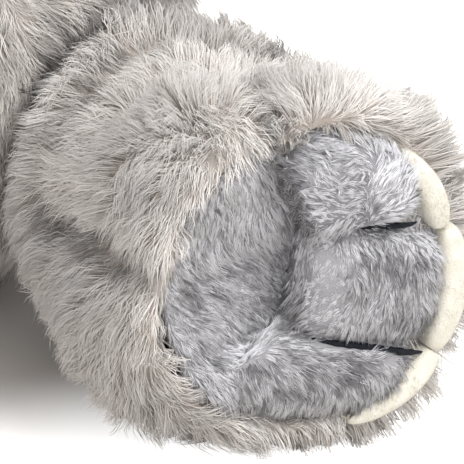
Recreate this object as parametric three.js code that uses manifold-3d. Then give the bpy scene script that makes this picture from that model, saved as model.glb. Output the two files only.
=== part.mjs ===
import * as THREE from 'three';
import { mergeVertices } from 'three/addons/utils/BufferGeometryUtils.js';
import Module from 'manifold-3d';

const wasm = await Module();
wasm.setup();

// Driving dimensions, in millimetres and degrees.
// The elephant sits on the origin, faces -Y, and has its left side on +X.

// Cloth and fits
const clothWall = 8; // plush cloth with its combed pile
const sewnGap = 0.4; // between pieces that touch
const rollGap = 0.7; // between a rounded root and the dish it rolls in

// Body
const bodyHalfWidth = 130;
const bodyHalfDepth = 128;
const bodyHalfHeight = 150;
const seatPress = 15; // how much of the egg is pressed flat where it sits
const bodyCentreHeight = bodyHalfHeight - seatPress;
const seatPanelRadius = 45;
const pelletBagRadius = 42;
const pelletBagHeight = 40;

// Head
const headHalfWidth = 106;
const headRadius = 98;
const headForward = 26;
const neckSink = 38; // how deep the head sits in the dish on top of the body
const neckHoleRadius = 28;

// Eyes
const eyeRadius = 9;
const eyeHeight = 7;
const eyeStemRadius = 2.5;
const eyeStemPastWasher = 3;
const eyeTurn = 25;
const eyeRise = 16;
const washerRadius = 8;
const washerThickness = 2;
const washerStandoff = 2.4; // clears the hollow curve of the cloth inside the head

// Trunk
const trunkRootRadius = 34;
const trunkKneeRadius = 26;
const trunkEndRadius = 20;
const trunkBaseLength = 104;
const trunkTipLength = 62;
const trunkSink = 21;
const trunkDrop = 14; // below the middle of the face
const trunkLean = 33.4; // forward from straight down
const trunkTipLean = 20.4;
const trunkKneeSetback = 14; // where the upper length stops, short of the knee
const nosePadThickness = 5;
const trunkSwing = [-8, 30];

// Ears
const earReach = 132;
const earTop = 88;
const earBottom = 92;
const earRootShares = [-0.25, -0.5, 0.59]; // of the reach, the bottom and the top, inside the head
const earEdgeShares = [
  [0.27, -1],
  [0.72, -0.86],
  [1, -0.1],
  [0.85, 0.77],
  [0.42, 1],
]; // of the reach, and of the top or the bottom
const earSweepBack = 20;
const earBehind = 10; // behind the middle of the head
const earRise = 15;
const earRootInset = 4;
const earBackThickness = 9;
const earLiningThickness = 5;
const earLiningInset = 5;
const earBevel = 2;
const earFlap = [-12, 30];

// Hind legs
const legRootRadius = 56;
const legFootRadius = 60;
const legLength = 96;
const legFullShare = 0.8; // of its length, where a leg has its foot's width
const legSplay = 26;
const hipBearing = 59;
const hipSink = 25;
const legSwing = [-14, 16];

// Front legs
const armRootRadius = 42;
const armFootRadius = 44;
const armLength = 70;
const armSplay = 46.8;
const armDroop = 25;
const armToeTurn = 50;
const shoulderBearing = 70;
const shoulderHeight = 222;
const shoulderSink = 20;
const armSwing = [-8, 20];

// Feet, sized for a hind foot
const soleRecess = 8;
const heelThickness = 8;
const creaseBack = 3; // the crease lies this far behind the middle of the sole
const toePlateThickness = 6;
const toeHeight = 13;
const toeLength = 20;
const middleToeHalfWidth = 15;
const outerToeHalfWidth = 12.3;
const toeFanBack = 30;
const toeFanReach = 50;
const toeFanAngle = 40;
const toeFanTurn = -6; // the middle toe points a little down
const nailDepth = 6.5;
const nailLength = 13;
const nailBevel = 1.2;
const nails = [
  ['upper', 16, 48],
  ['middle', -33, 11],
  ['lower', -67, -38],
];
const threadRadius = 1.2;
const threadStart = 48;
const threadEndInset = 2;

// Tail
const tailRootRadius = 8;
const tailEndRadius = 5;
const tailLength = 56;
const tailHeight = 62;
const tailSink = 4;
const tailDroop = 30;
const tuftRadius = 10;
const tuftLength = 34;
const tuftRootShare = 0.5; // of its radius, where it starts
const tailWag = [-35, 35];

// Facets
const bodySideCount = 22;
const bodyRingCount = 12;
const limbSideCount = 16;
const capStepCount = 4;
const toeSideCount = 8;
const toeRingCount = 6;
const nailStepCount = 2;
const threadSideCount = 8;
const eyeSideCount = 12;
const padStepCount = 8;
const dishSplitCount = 4; // of the smooth dishes that a root rolls in
const headDishSplitCount = 6;
const wallSplitCount = 2; // of their backs, inside the cloth
const wallSideCount = 10;
const sweepAngle = 10; // degrees between the positions that a swinging limb is cleared at
const farPast = 400;
const cutPast = 1; // how far a cut runs past the faces that it opens

// How far the flats of a faceted tube lie inside its corners
const limbFlats = Math.cos(Math.PI / limbSideCount);

const up = new THREE.Vector3(0, 0, 1);
const left = 1;
const right = -1;
const radians = THREE.MathUtils.degToRad;

const furGrey = new THREE.MeshStandardMaterial({ color: '#b0aaa4', roughness: 0.95, metalness: 0 });
const shortPile = new THREE.MeshStandardMaterial({ color: '#a4a4a8', roughness: 0.9, metalness: 0 });
const creamFelt = new THREE.MeshStandardMaterial({ color: '#e9e5d8', roughness: 0.9, metalness: 0 });
const darkThread = new THREE.MeshStandardMaterial({ color: '#1a1e26', roughness: 0.8, metalness: 0 });
const fibreFill = new THREE.MeshStandardMaterial({ color: '#f1f0ec', roughness: 1, metalness: 0 });
const pelletCloth = new THREE.MeshStandardMaterial({ color: '#d8d4cc', roughness: 1, metalness: 0 });
const eyePlastic = new THREE.MeshStandardMaterial({ color: '#0d0c0c', roughness: 0.15, metalness: 0 });
const washerPlastic = new THREE.MeshStandardMaterial({ color: '#e8e8e6', roughness: 0.5, metalness: 0 });

const elephant = new THREE.Group();

// Turns a closed geometry into a solid that faces out, also after it was mirrored.
function solidOf(geometry) {
  geometry.deleteAttribute('normal');
  geometry.deleteAttribute('uv');
  const merged = mergeVertices(geometry, 1e-3);
  const points = merged.attributes.position;
  const corners = merged.index.array;
  const [a, b, c] = [new THREE.Vector3(), new THREE.Vector3(), new THREE.Vector3()];
  const faces = [];
  let volume = 0;
  for (let i = 0; i < corners.length; i += 3) {
    const [p, q, r] = corners.slice(i, i + 3);
    if (p === q || q === r || r === p) {
      continue;
    }
    a.fromBufferAttribute(points, p);
    b.fromBufferAttribute(points, q);
    c.fromBufferAttribute(points, r);
    volume += a.dot(b.cross(c));
    faces.push([p, q, r]);
  }
  const outward = volume > 0 ? faces : faces.map(([p, q, r]) => [p, r, q]);
  return new wasm.Manifold(new wasm.Mesh({
    numProp: 3,
    vertProperties: Float32Array.from(points.array),
    triVerts: Uint32Array.from(outward.flat()),
  }));
}

// Adds a solid to a group as one named sub-part.
function addPiece(group, name, solid, material) {
  const { vertProperties, triVerts } = solid.getMesh();
  const geometry = new THREE.BufferGeometry();
  geometry.setAttribute('position', new THREE.BufferAttribute(vertProperties, 3));
  geometry.setIndex(new THREE.BufferAttribute(triVerts, 1));
  geometry.computeVertexNormals();
  const mesh = new THREE.Mesh(geometry, material);
  mesh.name = name;
  group.add(mesh);
}

// A group placed by a frame, which its pieces are drawn in.
function groupAt(frame) {
  const group = new THREE.Group();
  frame.decompose(group.position, group.quaternion, group.scale);
  elephant.add(group);
  return group;
}

// A frame at a point with its Z along an axis and its Y as far up as that lets it, turned about the axis.
function frameAlong(point, axis, turn = 0) {
  const z = axis.clone().normalize();
  const y = up.clone().addScaledVector(z, -up.dot(z)).normalize();
  const x = y.clone().cross(z);
  const frame = new THREE.Matrix4().makeBasis(x, y, z).setPosition(point);
  return frame.multiply(new THREE.Matrix4().makeRotationZ(turn));
}

// Rotation about a line through a point.
function turnAbout(point, axis, degrees) {
  const back = new THREE.Matrix4().makeTranslation(-point.x, -point.y, -point.z);
  const turn = new THREE.Matrix4().makeRotationAxis(axis, radians(degrees));
  return new THREE.Matrix4().makeTranslation(point).multiply(turn).multiply(back);
}

function ellipsoid(radii, centre) {
  const ball = new THREE.SphereGeometry(1, bodySideCount, bodyRingCount).rotateX(Math.PI / 2);
  return ball.scale(...radii).translate(...centre);
}

// A ball of even small facets, for a dish that something rolls in.
function evenBall(radii, centre, splitCount) {
  return new THREE.IcosahedronGeometry(1, splitCount).scale(...radii).translate(...centre);
}

// A round solid about Z from pairs of radius and height, from one end on the axis to the other.
function turned(profile, sides = limbSideCount) {
  const outline = profile.map(([radius, along]) => new THREE.Vector2(radius, along));
  return new THREE.LatheGeometry(outline, sides).rotateX(Math.PI / 2);
}

function cylinder(radius, from, to, sides = limbSideCount) {
  return turned([[0, from], [radius, from], [radius, to], [0, to]], sides);
}

function below(height) {
  const size = 2 * farPast;
  return solidOf(new THREE.BoxGeometry(size, size, size).translate(0, 0, height - farPast));
}

// Every whole step from one end of a joint's range to the other, with both ends and the rest position.
function stepsOf([from, to]) {
  const count = Math.ceil((to - from) / sweepAngle);
  const steps = Array.from({ length: count + 1 }, (_, i) => from + ((to - from) * i) / count);
  return [...steps, 0];
}

// A limb's profile: a rounded root centred on its pivot, its sides, and a flat end.
function limbProfile(limb, shrink, end) {
  const root = limb.rootRadius - shrink;
  const cap = Array.from({ length: capStepCount }, (_, i) => {
    const angle = (Math.PI / 2) * (1 - i / capStepCount);
    return [i === 0 ? 0 : root * Math.cos(angle), -root * Math.sin(angle)];
  });
  const sides = limb.sides.map(([radius, along]) => [radius - shrink, along]);
  const last = sides.at(-1)[0];
  return [...cap, ...sides, [last, end], [0, end]];
}

function limbSkin(limb) {
  const outside = solidOf(turned(limbProfile(limb, 0, limb.length)));
  return outside.subtract(solidOf(turned(limbProfile(limb, clothWall, limb.length + clothWall))));
}

function limbStuffing(limb, end) {
  return solidOf(turned(limbProfile(limb, clothWall + sewnGap, end)));
}

// The space that a limb's root and sides pass through as it swings, with room around it.
function roomFor(limb, room, splitCount = dishSplitCount, facets = limbSideCount) {
  const reach = limb.rootRadius + room;
  let space = solidOf(evenBall([reach, reach, reach], limb.pivot.toArray(), splitCount));
  const flats = Math.cos(Math.PI / facets);
  const sides = limb.sides.map(([radius, along]) => [(radius + room) / flats, along]);
  const tube = [[0, 0], ...sides, [0, sides.at(-1)[1]]];
  for (const step of stepsOf(limb.swing)) {
    const turn = turnAbout(limb.pivot, limb.hinge, step).multiply(limb.frame);
    space = space.add(solidOf(turned(tube, facets).applyMatrix4(turn)));
  }
  return space;
}

// The same space with the cloth behind it.
function backedRoomFor(limb, gap) {
  return roomFor(limb, rollGap + clothWall + gap, wallSplitCount, wallSideCount);
}

// A point on the body's side, by its bearing from the front and its height.
function bodySurface(side, bearing, height) {
  const across = Math.sqrt(1 - ((height - bodyCentreHeight) / bodyHalfHeight) ** 2);
  const x = side * bodyHalfWidth * across * Math.sin(radians(bearing));
  const y = -bodyHalfDepth * across * Math.cos(radians(bearing));
  return new THREE.Vector3(x, y, height);
}

// Limbs
function hindLeg(side) {
  const axis = new THREE.Vector3(side * Math.sin(radians(legSplay)), -Math.cos(radians(legSplay)), 0);
  const hip = bodySurface(side, hipBearing, legFootRadius);
  const pivot = hip.addScaledVector(axis, legRootRadius - hipSink);
  return {
    name: side === left ? 'hind_left' : 'hind_right',
    side,
    pivot,
    hinge: up.clone().multiplyScalar(side),
    frame: frameAlong(pivot, axis),
    rootRadius: legRootRadius,
    footRadius: legFootRadius,
    length: legLength,
    sides: [[legRootRadius, 0], [legFootRadius, legFullShare * legLength]],
    swing: legSwing,
  };
}

function frontLeg(side) {
  const level = Math.cos(radians(armDroop));
  const axis = new THREE.Vector3(
    side * level * Math.sin(radians(armSplay)),
    -level * Math.cos(radians(armSplay)),
    -Math.sin(radians(armDroop)),
  );
  const shoulder = bodySurface(side, shoulderBearing, shoulderHeight);
  const pivot = shoulder.addScaledVector(axis, armRootRadius - shoulderSink);
  return {
    name: side === left ? 'front_left' : 'front_right',
    side,
    pivot,
    hinge: axis.clone().cross(up).normalize(),
    frame: frameAlong(pivot, axis, side * radians(armToeTurn)),
    rootRadius: armRootRadius,
    footRadius: armFootRadius,
    length: armLength,
    sides: [[armRootRadius, 0], [armFootRadius, legFullShare * armLength]],
    swing: armSwing,
  };
}

const headCentre = new THREE.Vector3(
  0,
  -headForward,
  bodyCentreHeight + bodyHalfHeight + headRadius - neckSink,
);

function leaning(angle) {
  return new THREE.Vector3(0, -Math.sin(radians(angle)), -Math.cos(radians(angle)));
}

const trunkFacing = new THREE.Vector3(0, -Math.cos(radians(trunkDrop)), -Math.sin(radians(trunkDrop)));
const trunkPivot = headCentre.clone().addScaledVector(
  trunkFacing,
  headRadius + trunkRootRadius - trunkSink,
);
const trunkBase = {
  pivot: trunkPivot,
  hinge: new THREE.Vector3(-1, 0, 0),
  frame: frameAlong(trunkPivot, leaning(trunkLean)),
  rootRadius: trunkRootRadius,
  length: trunkBaseLength - trunkKneeSetback,
  sides: [
    [trunkRootRadius, 0],
    [trunkKneeRadius + 2 * sewnGap + rollGap, trunkBaseLength - trunkKneeSetback],
  ],
  swing: trunkSwing,
};
const knee = trunkPivot.clone().addScaledVector(leaning(trunkLean), trunkBaseLength);
const trunkTip = {
  pivot: knee,
  frame: frameAlong(knee, leaning(trunkTipLean)),
  rootRadius: trunkKneeRadius,
  length: trunkTipLength,
  sides: [[trunkKneeRadius, 0], [trunkEndRadius, trunkTipLength]],
};

const tailAxis = new THREE.Vector3(0, Math.cos(radians(tailDroop)), -Math.sin(radians(tailDroop)));
const tailPivot = bodySurface(left, 180, tailHeight)
  .addScaledVector(tailAxis, tailRootRadius - tailSink);
const tail = {
  pivot: tailPivot,
  hinge: up,
  frame: frameAlong(tailPivot, tailAxis),
  rootRadius: tailRootRadius,
  length: tailLength,
  sides: [[tailRootRadius, 0], [tailEndRadius, tailLength]],
  swing: tailWag,
};

const legs = [hindLeg(left), hindLeg(right), frontLeg(left), frontLeg(right)];

// Body
function bodyEgg(shrink) {
  const radii = [bodyHalfWidth - shrink, bodyHalfDepth - shrink, bodyHalfHeight - shrink];
  return solidOf(ellipsoid(radii, [0, 0, bodyCentreHeight]));
}

function headRadii(grow) {
  return [headHalfWidth + grow, headRadius + grow, headRadius + grow];
}

function headEgg(grow) {
  return solidOf(ellipsoid(headRadii(grow), headCentre.toArray()));
}

const bodyLimbs = [...legs, tail];

// Cuts the dishes that the head, the legs and the tail roll in.
function withDishes(solid) {
  const cut = bodyLimbs.reduce((rest, limb) => rest.subtract(roomFor(limb, rollGap)), solid);
  return cut.subtract(solidOf(evenBall(headRadii(rollGap), headCentre.toArray(), headDishSplitCount)));
}

// Cuts the same dishes from what lies inside the cloth.
function withBackedDishes(solid, gap) {
  const cut = bodyLimbs.reduce((rest, limb) => rest.subtract(backedRoomFor(limb, gap)), solid);
  const radii = headRadii(rollGap + clothWall + gap);
  return cut.subtract(solidOf(evenBall(radii, headCentre.toArray(), wallSplitCount)));
}

function pelletBagProfile(grow, floor) {
  const radius = pelletBagRadius + grow;
  const top = clothWall + sewnGap + pelletBagHeight + grow;
  const steps = Array.from({ length: capStepCount }, (_, i) => (Math.PI / 2) * (i / capStepCount));
  const middle = clothWall + sewnGap + pelletBagHeight / 2;
  const dome = steps.map((angle) => [radius * Math.cos(angle), middle + (top - middle) * Math.sin(angle)]);
  return [[0, floor], [radius, floor], ...dome, [0, top]];
}

function addBody() {
  const inside = withBackedDishes(bodyEgg(clothWall).subtract(below(clothWall)), 0);
  const seatHole = solidOf(cylinder(seatPanelRadius + sewnGap, -cutPast, clothWall + cutPast, bodySideCount));
  const skin = withDishes(bodyEgg(0).subtract(below(0))).subtract(inside).subtract(seatHole);
  addPiece(elephant, 'body_skin', skin, furGrey);
  const panel = solidOf(cylinder(seatPanelRadius, 0, clothWall, bodySideCount));
  addPiece(elephant, 'seat_panel', panel, furGrey);
  const floor = clothWall + sewnGap;
  const bag = solidOf(turned(pelletBagProfile(0, floor), bodySideCount));
  addPiece(elephant, 'pellet_bag', bag, pelletCloth);
  const pocket = solidOf(turned(pelletBagProfile(sewnGap, 0), bodySideCount));
  const fill = bodyEgg(clothWall + sewnGap).subtract(below(floor)).subtract(pocket);
  addPiece(elephant, 'body_stuffing', withBackedDishes(fill, sewnGap), fibreFill);
}

// Eyes: a dome on the face, its stem through the cloth and a washer that locks it inside
function eyeFrame(side) {
  const turn = radians(eyeTurn);
  const rise = radians(eyeRise);
  const way = new THREE.Vector3(
    side * Math.sin(turn) * Math.cos(rise),
    -Math.cos(turn) * Math.cos(rise),
    Math.sin(rise),
  );
  const radii = new THREE.Vector3(headHalfWidth, headRadius, headRadius);
  const point = way.clone().multiply(radii).add(headCentre);
  const outward = way.clone().divide(radii).normalize();
  return frameAlong(point, outward);
}

const washerTop = -(clothWall + washerStandoff);
const stemEnd = washerTop - washerThickness - eyeStemPastWasher;

function addEye(side) {
  const name = side === left ? 'left' : 'right';
  const group = groupAt(eyeFrame(side));
  const dome = Array.from({ length: capStepCount }, (_, i) => {
    const angle = (Math.PI / 2) * (i / capStepCount);
    return [eyeRadius * Math.cos(angle), sewnGap + eyeHeight * Math.sin(angle)];
  });
  const stem = [[0, stemEnd], [eyeStemRadius, stemEnd], [eyeStemRadius, sewnGap]];
  const eye = solidOf(turned([...stem, ...dome, [0, sewnGap + eyeHeight]], eyeSideCount));
  addPiece(group, `eye_${name}`, eye, eyePlastic);
  const disc = solidOf(cylinder(washerRadius, washerTop - washerThickness, washerTop, eyeSideCount));
  const washer = disc.subtract(solidOf(cylinder(eyeStemRadius + sewnGap, stemEnd, 0, eyeSideCount)));
  addPiece(group, `eye_washer_${name}`, washer, washerPlastic);
}

// Head
function addHead() {
  const eyes = [left, right].map(eyeFrame);
  const stems = eyes.map((frame) => (
    solidOf(cylinder(eyeStemRadius + sewnGap, stemEnd, eyeHeight, eyeSideCount).applyMatrix4(frame))
  ));
  const pockets = eyes.map((frame) => (
    solidOf(cylinder(washerRadius + sewnGap, stemEnd - sewnGap, 0, eyeSideCount).applyMatrix4(frame))
  ));
  const trunkRoom = roomFor(trunkBase, rollGap);
  const hollow = headEgg(-clothWall).subtract(backedRoomFor(trunkBase, 0));
  const neck = cylinder(neckHoleRadius, -farPast, 0).translate(...headCentre.toArray());
  let skin = headEgg(0).subtract(trunkRoom).subtract(hollow).subtract(solidOf(neck));
  stems.forEach((stem) => {
    skin = skin.subtract(stem);
  });
  addPiece(elephant, 'head_skin', skin, furGrey);
  let fill = headEgg(-clothWall - sewnGap).subtract(backedRoomFor(trunkBase, sewnGap));
  pockets.forEach((pocket) => {
    fill = fill.subtract(pocket);
  });
  addPiece(elephant, 'head_stuffing', fill, fibreFill);
  addEye(left);
  addEye(right);
}

// Trunk: an upper length that rolls on the face and a tip that rolls in its end
function addTrunk() {
  const upper = groupAt(trunkBase.frame);
  const reach = trunkKneeRadius + rollGap;
  const kneeRoom = solidOf(evenBall([reach, reach, reach], [0, 0, trunkBaseLength], dishSplitCount));
  addPiece(upper, 'trunk_upper_skin', limbSkin(trunkBase).subtract(kneeRoom), furGrey);
  const upperFill = limbStuffing(trunkBase, trunkBase.length).subtract(kneeRoom);
  addPiece(upper, 'trunk_upper_stuffing', upperFill, fibreFill);
  const tip = groupAt(trunkTip.frame);
  addPiece(tip, 'trunk_tip_skin', limbSkin(trunkTip), furGrey);
  const fillEnd = trunkTip.length - nosePadThickness;
  addPiece(tip, 'trunk_tip_stuffing', limbStuffing(trunkTip, fillEnd - sewnGap), fibreFill);
  const padRadius = (trunkEndRadius - clothWall) * limbFlats - sewnGap;
  addPiece(tip, 'trunk_nose_pad', solidOf(cylinder(padRadius, fillEnd, trunkTip.length)), shortPile);
}

// Ears: a furry back and a short-pile lining, cut to clear the head at every angle that they flap to
function earOutline(inset) {
  const [rootShare, lowShare, highShare] = earRootShares;
  const root = rootShare * earReach;
  const reach = earReach - inset;
  const edge = earEdgeShares.map(([across, upward]) => (
    new THREE.Vector2(across * reach, upward * ((upward > 0 ? earTop : earBottom) - inset))
  ));
  const shape = new THREE.Shape();
  shape.moveTo(root, lowShare * earBottom);
  shape.splineThru([...edge, new THREE.Vector2(root, highShare * earTop)]);
  shape.closePath();
  return shape;
}

function earSlab(side, inset, from, to) {
  const slab = new THREE.ExtrudeGeometry(earOutline(inset), {
    depth: to - from - 2 * earBevel,
    bevelThickness: earBevel,
    bevelSize: earBevel,
    bevelOffset: -earBevel,
    bevelSegments: 1,
    curveSegments: 3,
  });
  return solidOf(slab.translate(0, 0, from + earBevel).rotateX(Math.PI / 2).scale(side, -1, 1));
}

function addEar(side) {
  const name = side === left ? 'left' : 'right';
  const place = headCentre.clone();
  place.add(new THREE.Vector3(side * (headHalfWidth - earRootInset), earBehind, earRise));
  const sweep = new THREE.Matrix4().makeRotationZ(side * radians(earSweepBack)).setPosition(place);
  const toEar = sweep.clone().invert();
  const group = groupAt(sweep);
  const slabs = [
    ['ear_back', furGrey, earSlab(side, 0, sewnGap / 2, earBackThickness)],
    ['ear_lining', shortPile, earSlab(side, earLiningInset, -earLiningThickness, -sewnGap / 2)],
  ];
  for (const [kind, material, slab] of slabs) {
    let ear = slab;
    for (const step of stepsOf(earFlap)) {
      const back = toEar.clone().multiply(turnAbout(place, up, side * step));
      ear = ear.subtract(solidOf(ellipsoid(headRadii(rollGap), headCentre.toArray()).applyMatrix4(back)));
    }
    addPiece(group, `${kind}_${name}`, ear, material);
  }
}

// Feet: a heel pad and a three-lobed toe pad on the end of the stuffing, with nails and threads
function flatPad(shape, from, depth) {
  const pad = new THREE.ExtrudeGeometry(shape, { depth, bevelEnabled: false, curveSegments: padStepCount });
  return pad.translate(0, 0, from);
}

function segmentShape(radius, chord, toes) {
  const angle = Math.acos(chord / radius);
  const shape = new THREE.Shape();
  shape.absarc(0, 0, radius, toes ? -angle : angle, toes ? angle : 2 * Math.PI - angle, false);
  shape.closePath();
  return shape;
}

function nailShape(inner, outer, from, to) {
  const shape = new THREE.Shape();
  shape.absarc(0, 0, outer, radians(from), radians(to), false);
  shape.absarc(0, 0, inner, radians(to), radians(from), true);
  shape.closePath();
  return shape;
}

function addFoot(limb, group) {
  const scale = limb.footRadius / legFootRadius;
  const solidFor = (geometry) => solidOf(geometry.scale(limb.side, 1, 1));
  const rest = limb.length - soleRecess * scale + sewnGap;
  const outer = (limb.footRadius - clothWall) * limbFlats - sewnGap;
  const inner = outer - nailDepth * scale;
  const soleRadius = inner - sewnGap;
  const crease = -creaseBack * scale;

  const heel = flatPad(segmentShape(outer, crease - sewnGap, false), rest, heelThickness * scale);
  addPiece(group, `${limb.name}_heel_pad`, solidFor(heel), shortPile);

  const plateTop = rest + toePlateThickness * scale;
  const region = segmentShape(soleRadius, crease, true);
  const plate = solidFor(flatPad(region, rest, toePlateThickness * scale));
  const column = solidFor(flatPad(region, plateTop - sewnGap, 2 * toeHeight * scale));
  const lobes = [-1, 0, 1].map((finger) => {
    const angle = radians(finger * toeFanAngle + toeFanTurn);
    const width = finger === 0 ? middleToeHalfWidth : outerToeHalfWidth;
    const lobe = new THREE.SphereGeometry(1, toeSideCount, toeRingCount).scale(toeLength, width, toeHeight);
    const x = toeFanReach * Math.cos(angle) - toeFanBack;
    const y = toeFanReach * Math.sin(angle);
    lobe.rotateZ(angle).translate(x, y, 0).scale(scale, scale, scale);
    return solidFor(lobe.translate(0, 0, plateTop)).intersect(column);
  });
  const threadAt = (sign, grow) => {
    const turn = radians((sign * toeFanAngle) / 2 + toeFanTurn);
    const fanRise = toeFanBack * Math.sin(turn);
    const fanToEdge = toeFanBack * Math.cos(turn) + Math.sqrt((soleRadius / scale) ** 2 - fanRise ** 2);
    const from = threadStart - grow / scale;
    const to = fanToEdge - threadEndInset + grow / scale;
    const thread = cylinder(threadRadius + grow / scale, from, to, threadSideCount);
    thread.rotateY(Math.PI / 2).rotateZ(turn).translate(-toeFanBack, 0, 0);
    thread.scale(scale, scale, scale);
    return solidFor(thread.translate(0, 0, plateTop + threadRadius * scale + sewnGap));
  };
  const whole = lobes.reduce((pad, lobe) => pad.add(lobe), plate);
  const toes = whole.subtract(threadAt(1, sewnGap)).subtract(threadAt(-1, sewnGap));
  addPiece(group, `${limb.name}_toe_pad`, toes, shortPile);
  addPiece(group, `${limb.name}_toe_thread_upper`, threadAt(1, 0), darkThread);
  addPiece(group, `${limb.name}_toe_thread_lower`, threadAt(-1, 0), darkThread);

  for (const [place, from, to] of nails) {
    const nail = new THREE.ExtrudeGeometry(nailShape(inner, outer, from, to), {
      depth: nailLength * scale - 2 * nailBevel,
      bevelThickness: nailBevel,
      bevelSize: nailBevel,
      bevelOffset: -nailBevel,
      bevelSegments: 1,
      curveSegments: nailStepCount,
    });
    const solid = solidFor(nail.translate(0, 0, rest + nailBevel));
    addPiece(group, `${limb.name}_nail_${place}`, solid, creamFelt);
  }
}

function addLeg(limb) {
  const group = groupAt(limb.frame);
  const scale = limb.footRadius / legFootRadius;
  addPiece(group, `${limb.name}_leg_skin`, limbSkin(limb), furGrey);
  const fill = limbStuffing(limb, limb.length - soleRecess * scale);
  addPiece(group, `${limb.name}_leg_stuffing`, fill, fibreFill);
  addFoot(limb, group);
}

// Tail: a sewn cord with a tuft on its end
function addTail() {
  const group = groupAt(tail.frame);
  addPiece(group, 'tail_cord', solidOf(turned(limbProfile(tail, 0, tail.length))), furGrey);
  const start = tail.length + sewnGap;
  const tuft = Array.from({ length: capStepCount + 1 }, (_, i) => {
    const along = i / capStepCount;
    const round = Math.sqrt(1 - along ** 2);
    return [tuftRadius * (tuftRootShare + along) * round, start + tuftLength * along];
  });
  addPiece(group, 'tail_tuft', solidOf(turned([[0, start], ...tuft])), furGrey);
}

addBody();
addHead();
addTrunk();
addEar(left);
addEar(right);
legs.forEach(addLeg);
addTail();

export default elephant;
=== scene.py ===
import math
import bpy
import numpy as np
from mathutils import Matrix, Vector
from mathutils.kdtree import KDTree


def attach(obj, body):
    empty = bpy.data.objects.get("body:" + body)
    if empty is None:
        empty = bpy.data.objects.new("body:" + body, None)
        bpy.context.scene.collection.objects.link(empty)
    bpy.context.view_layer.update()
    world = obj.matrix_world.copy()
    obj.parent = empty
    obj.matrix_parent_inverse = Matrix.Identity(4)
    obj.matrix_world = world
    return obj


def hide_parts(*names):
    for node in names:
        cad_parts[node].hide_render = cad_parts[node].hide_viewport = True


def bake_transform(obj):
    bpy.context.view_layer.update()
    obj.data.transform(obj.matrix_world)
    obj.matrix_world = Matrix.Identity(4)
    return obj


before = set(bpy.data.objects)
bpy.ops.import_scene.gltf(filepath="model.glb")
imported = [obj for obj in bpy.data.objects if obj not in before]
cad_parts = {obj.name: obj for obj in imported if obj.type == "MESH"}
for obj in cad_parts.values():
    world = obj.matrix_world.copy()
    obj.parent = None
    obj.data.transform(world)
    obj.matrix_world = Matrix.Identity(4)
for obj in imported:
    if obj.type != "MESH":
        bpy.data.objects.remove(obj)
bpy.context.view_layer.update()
mm = 0.001  # pieces are worked out in millimetres and stored in metres
strandShare = 1.0
up = np.array([0.0, 0.0, 1.0])
bothSides = ((1, "left"), (-1, "right"))


def at(*numbers):  # a place or a way as an array
    return np.array(numbers, float)


def norm(v):  # lengths along the last axis
    return np.linalg.norm(v, axis=-1)


def unit(v):  # v over its length
    return v / np.maximum(np.linalg.norm(v, axis=-1, keepdims=True), 1e-9)


def mirrored(places, side):  # the same places on the left, or mirrored in x on the right
    return places * at(side, 1, 1)


def ramp(x, low, high):  # smooth step, 3t^2 - 2t^3 between low and high
    t = np.clip((x - low) / (high - low), 0, 1)
    return t * t * (3 - 2 * t)


def window(x, low, from1, to1, high):  # rises between the first two values and falls between the last two
    return ramp(x, low, from1) * ramp(-x, -high, -to1)


def bell(x, width):  # e to the minus square of x over the width
    return np.exp(-((x / width) ** 2))


def besideLine(places, start, end):  # share along the line between two places, and distance from it
    run = end - start
    share = np.clip((places - start) @ run / np.sum(run**2), 0, 1)
    return share, norm(places - start - share[:, None] * run)


def circle(count):  # angles evenly round a full turn
    return np.linspace(0, 2 * np.pi, count, endpoint=False)


def waves(points, size, seed):  # sum of nine sines along fixed random ways, about -1 to 1, size apart
    draw = np.random.default_rng(seed)
    ways = unit(draw.normal(size=(9, 3))) * (2 * np.pi / size) * draw.uniform(0.7, 1.4, (9, 1))
    shifts = draw.uniform(0, 2 * np.pi, 9)
    return np.sin(points @ ways.T + shifts).sum(axis=-1) / 3


def ringFaces(ringCount, sides):  # quads between neighbouring rings, a fan of triangles to each pole
    i, j = np.meshgrid(np.arange(ringCount - 1), np.arange(sides), indexing="ij")
    k = (j + 1) % sides
    quads = [i * sides + j, i * sides + k, (i + 1) * sides + k, (i + 1) * sides + j]
    j, k = np.arange(sides), (np.arange(sides) + 1) % sides
    lastRow = (ringCount - 1) * sides
    startFan = np.stack([np.full(sides, ringCount * sides), k, j], axis=-1)
    endFan = np.stack([np.full(sides, ringCount * sides + 1), lastRow + j, lastRow + k], axis=-1)
    return np.stack(quads, axis=-1).reshape(-1, 4), np.concatenate([startFan, endFan])


def closedForm(rings):  # rings of points joined into one closed body, turned outwards by its signed volume
    points = np.concatenate([rings.reshape(-1, 3), [rings[0].mean(axis=0), rings[-1].mean(axis=0)]])
    quads, fans = ringFaces(*rings.shape[:2])
    tris = np.concatenate([quads[:, [0, 1, 2]], quads[:, [0, 2, 3]], fans])
    a, b, c = (points[tris[:, q]] for q in range(3))
    if np.einsum("ij,ij->", a - points[0], np.cross(b - points[0], c - points[0])) < 0:
        quads, fans, tris = quads[:, ::-1], fans[:, ::-1], tris[:, ::-1]
    return {"points": points, "quads": quads, "fans": fans, "tris": tris}


def spun(profile, sides):  # rings of a profile of radii and heights, spun about the third axis
    radius, height = (np.array(profile)[:, q : q + 1] for q in range(2))
    turn = circle(sides)
    return np.stack([radius * np.cos(turn), radius * np.sin(turn), height + 0 * turn], axis=-1)


def tube(places, ways, radius, sides):  # rings across a path that lies in the middle plane
    turn = circle(sides)[None, :, None]
    across = at(1, 0, 0)
    ring = np.cos(turn) * across + np.sin(turn) * np.cross(ways, across)[:, None]
    return places[:, None] + radius[:, None, None] * ring


def frameOf(way):  # two ways across and the way itself
    across = unit(np.cross(up, way))
    return np.stack([across, np.cross(way, across), way])


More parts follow.
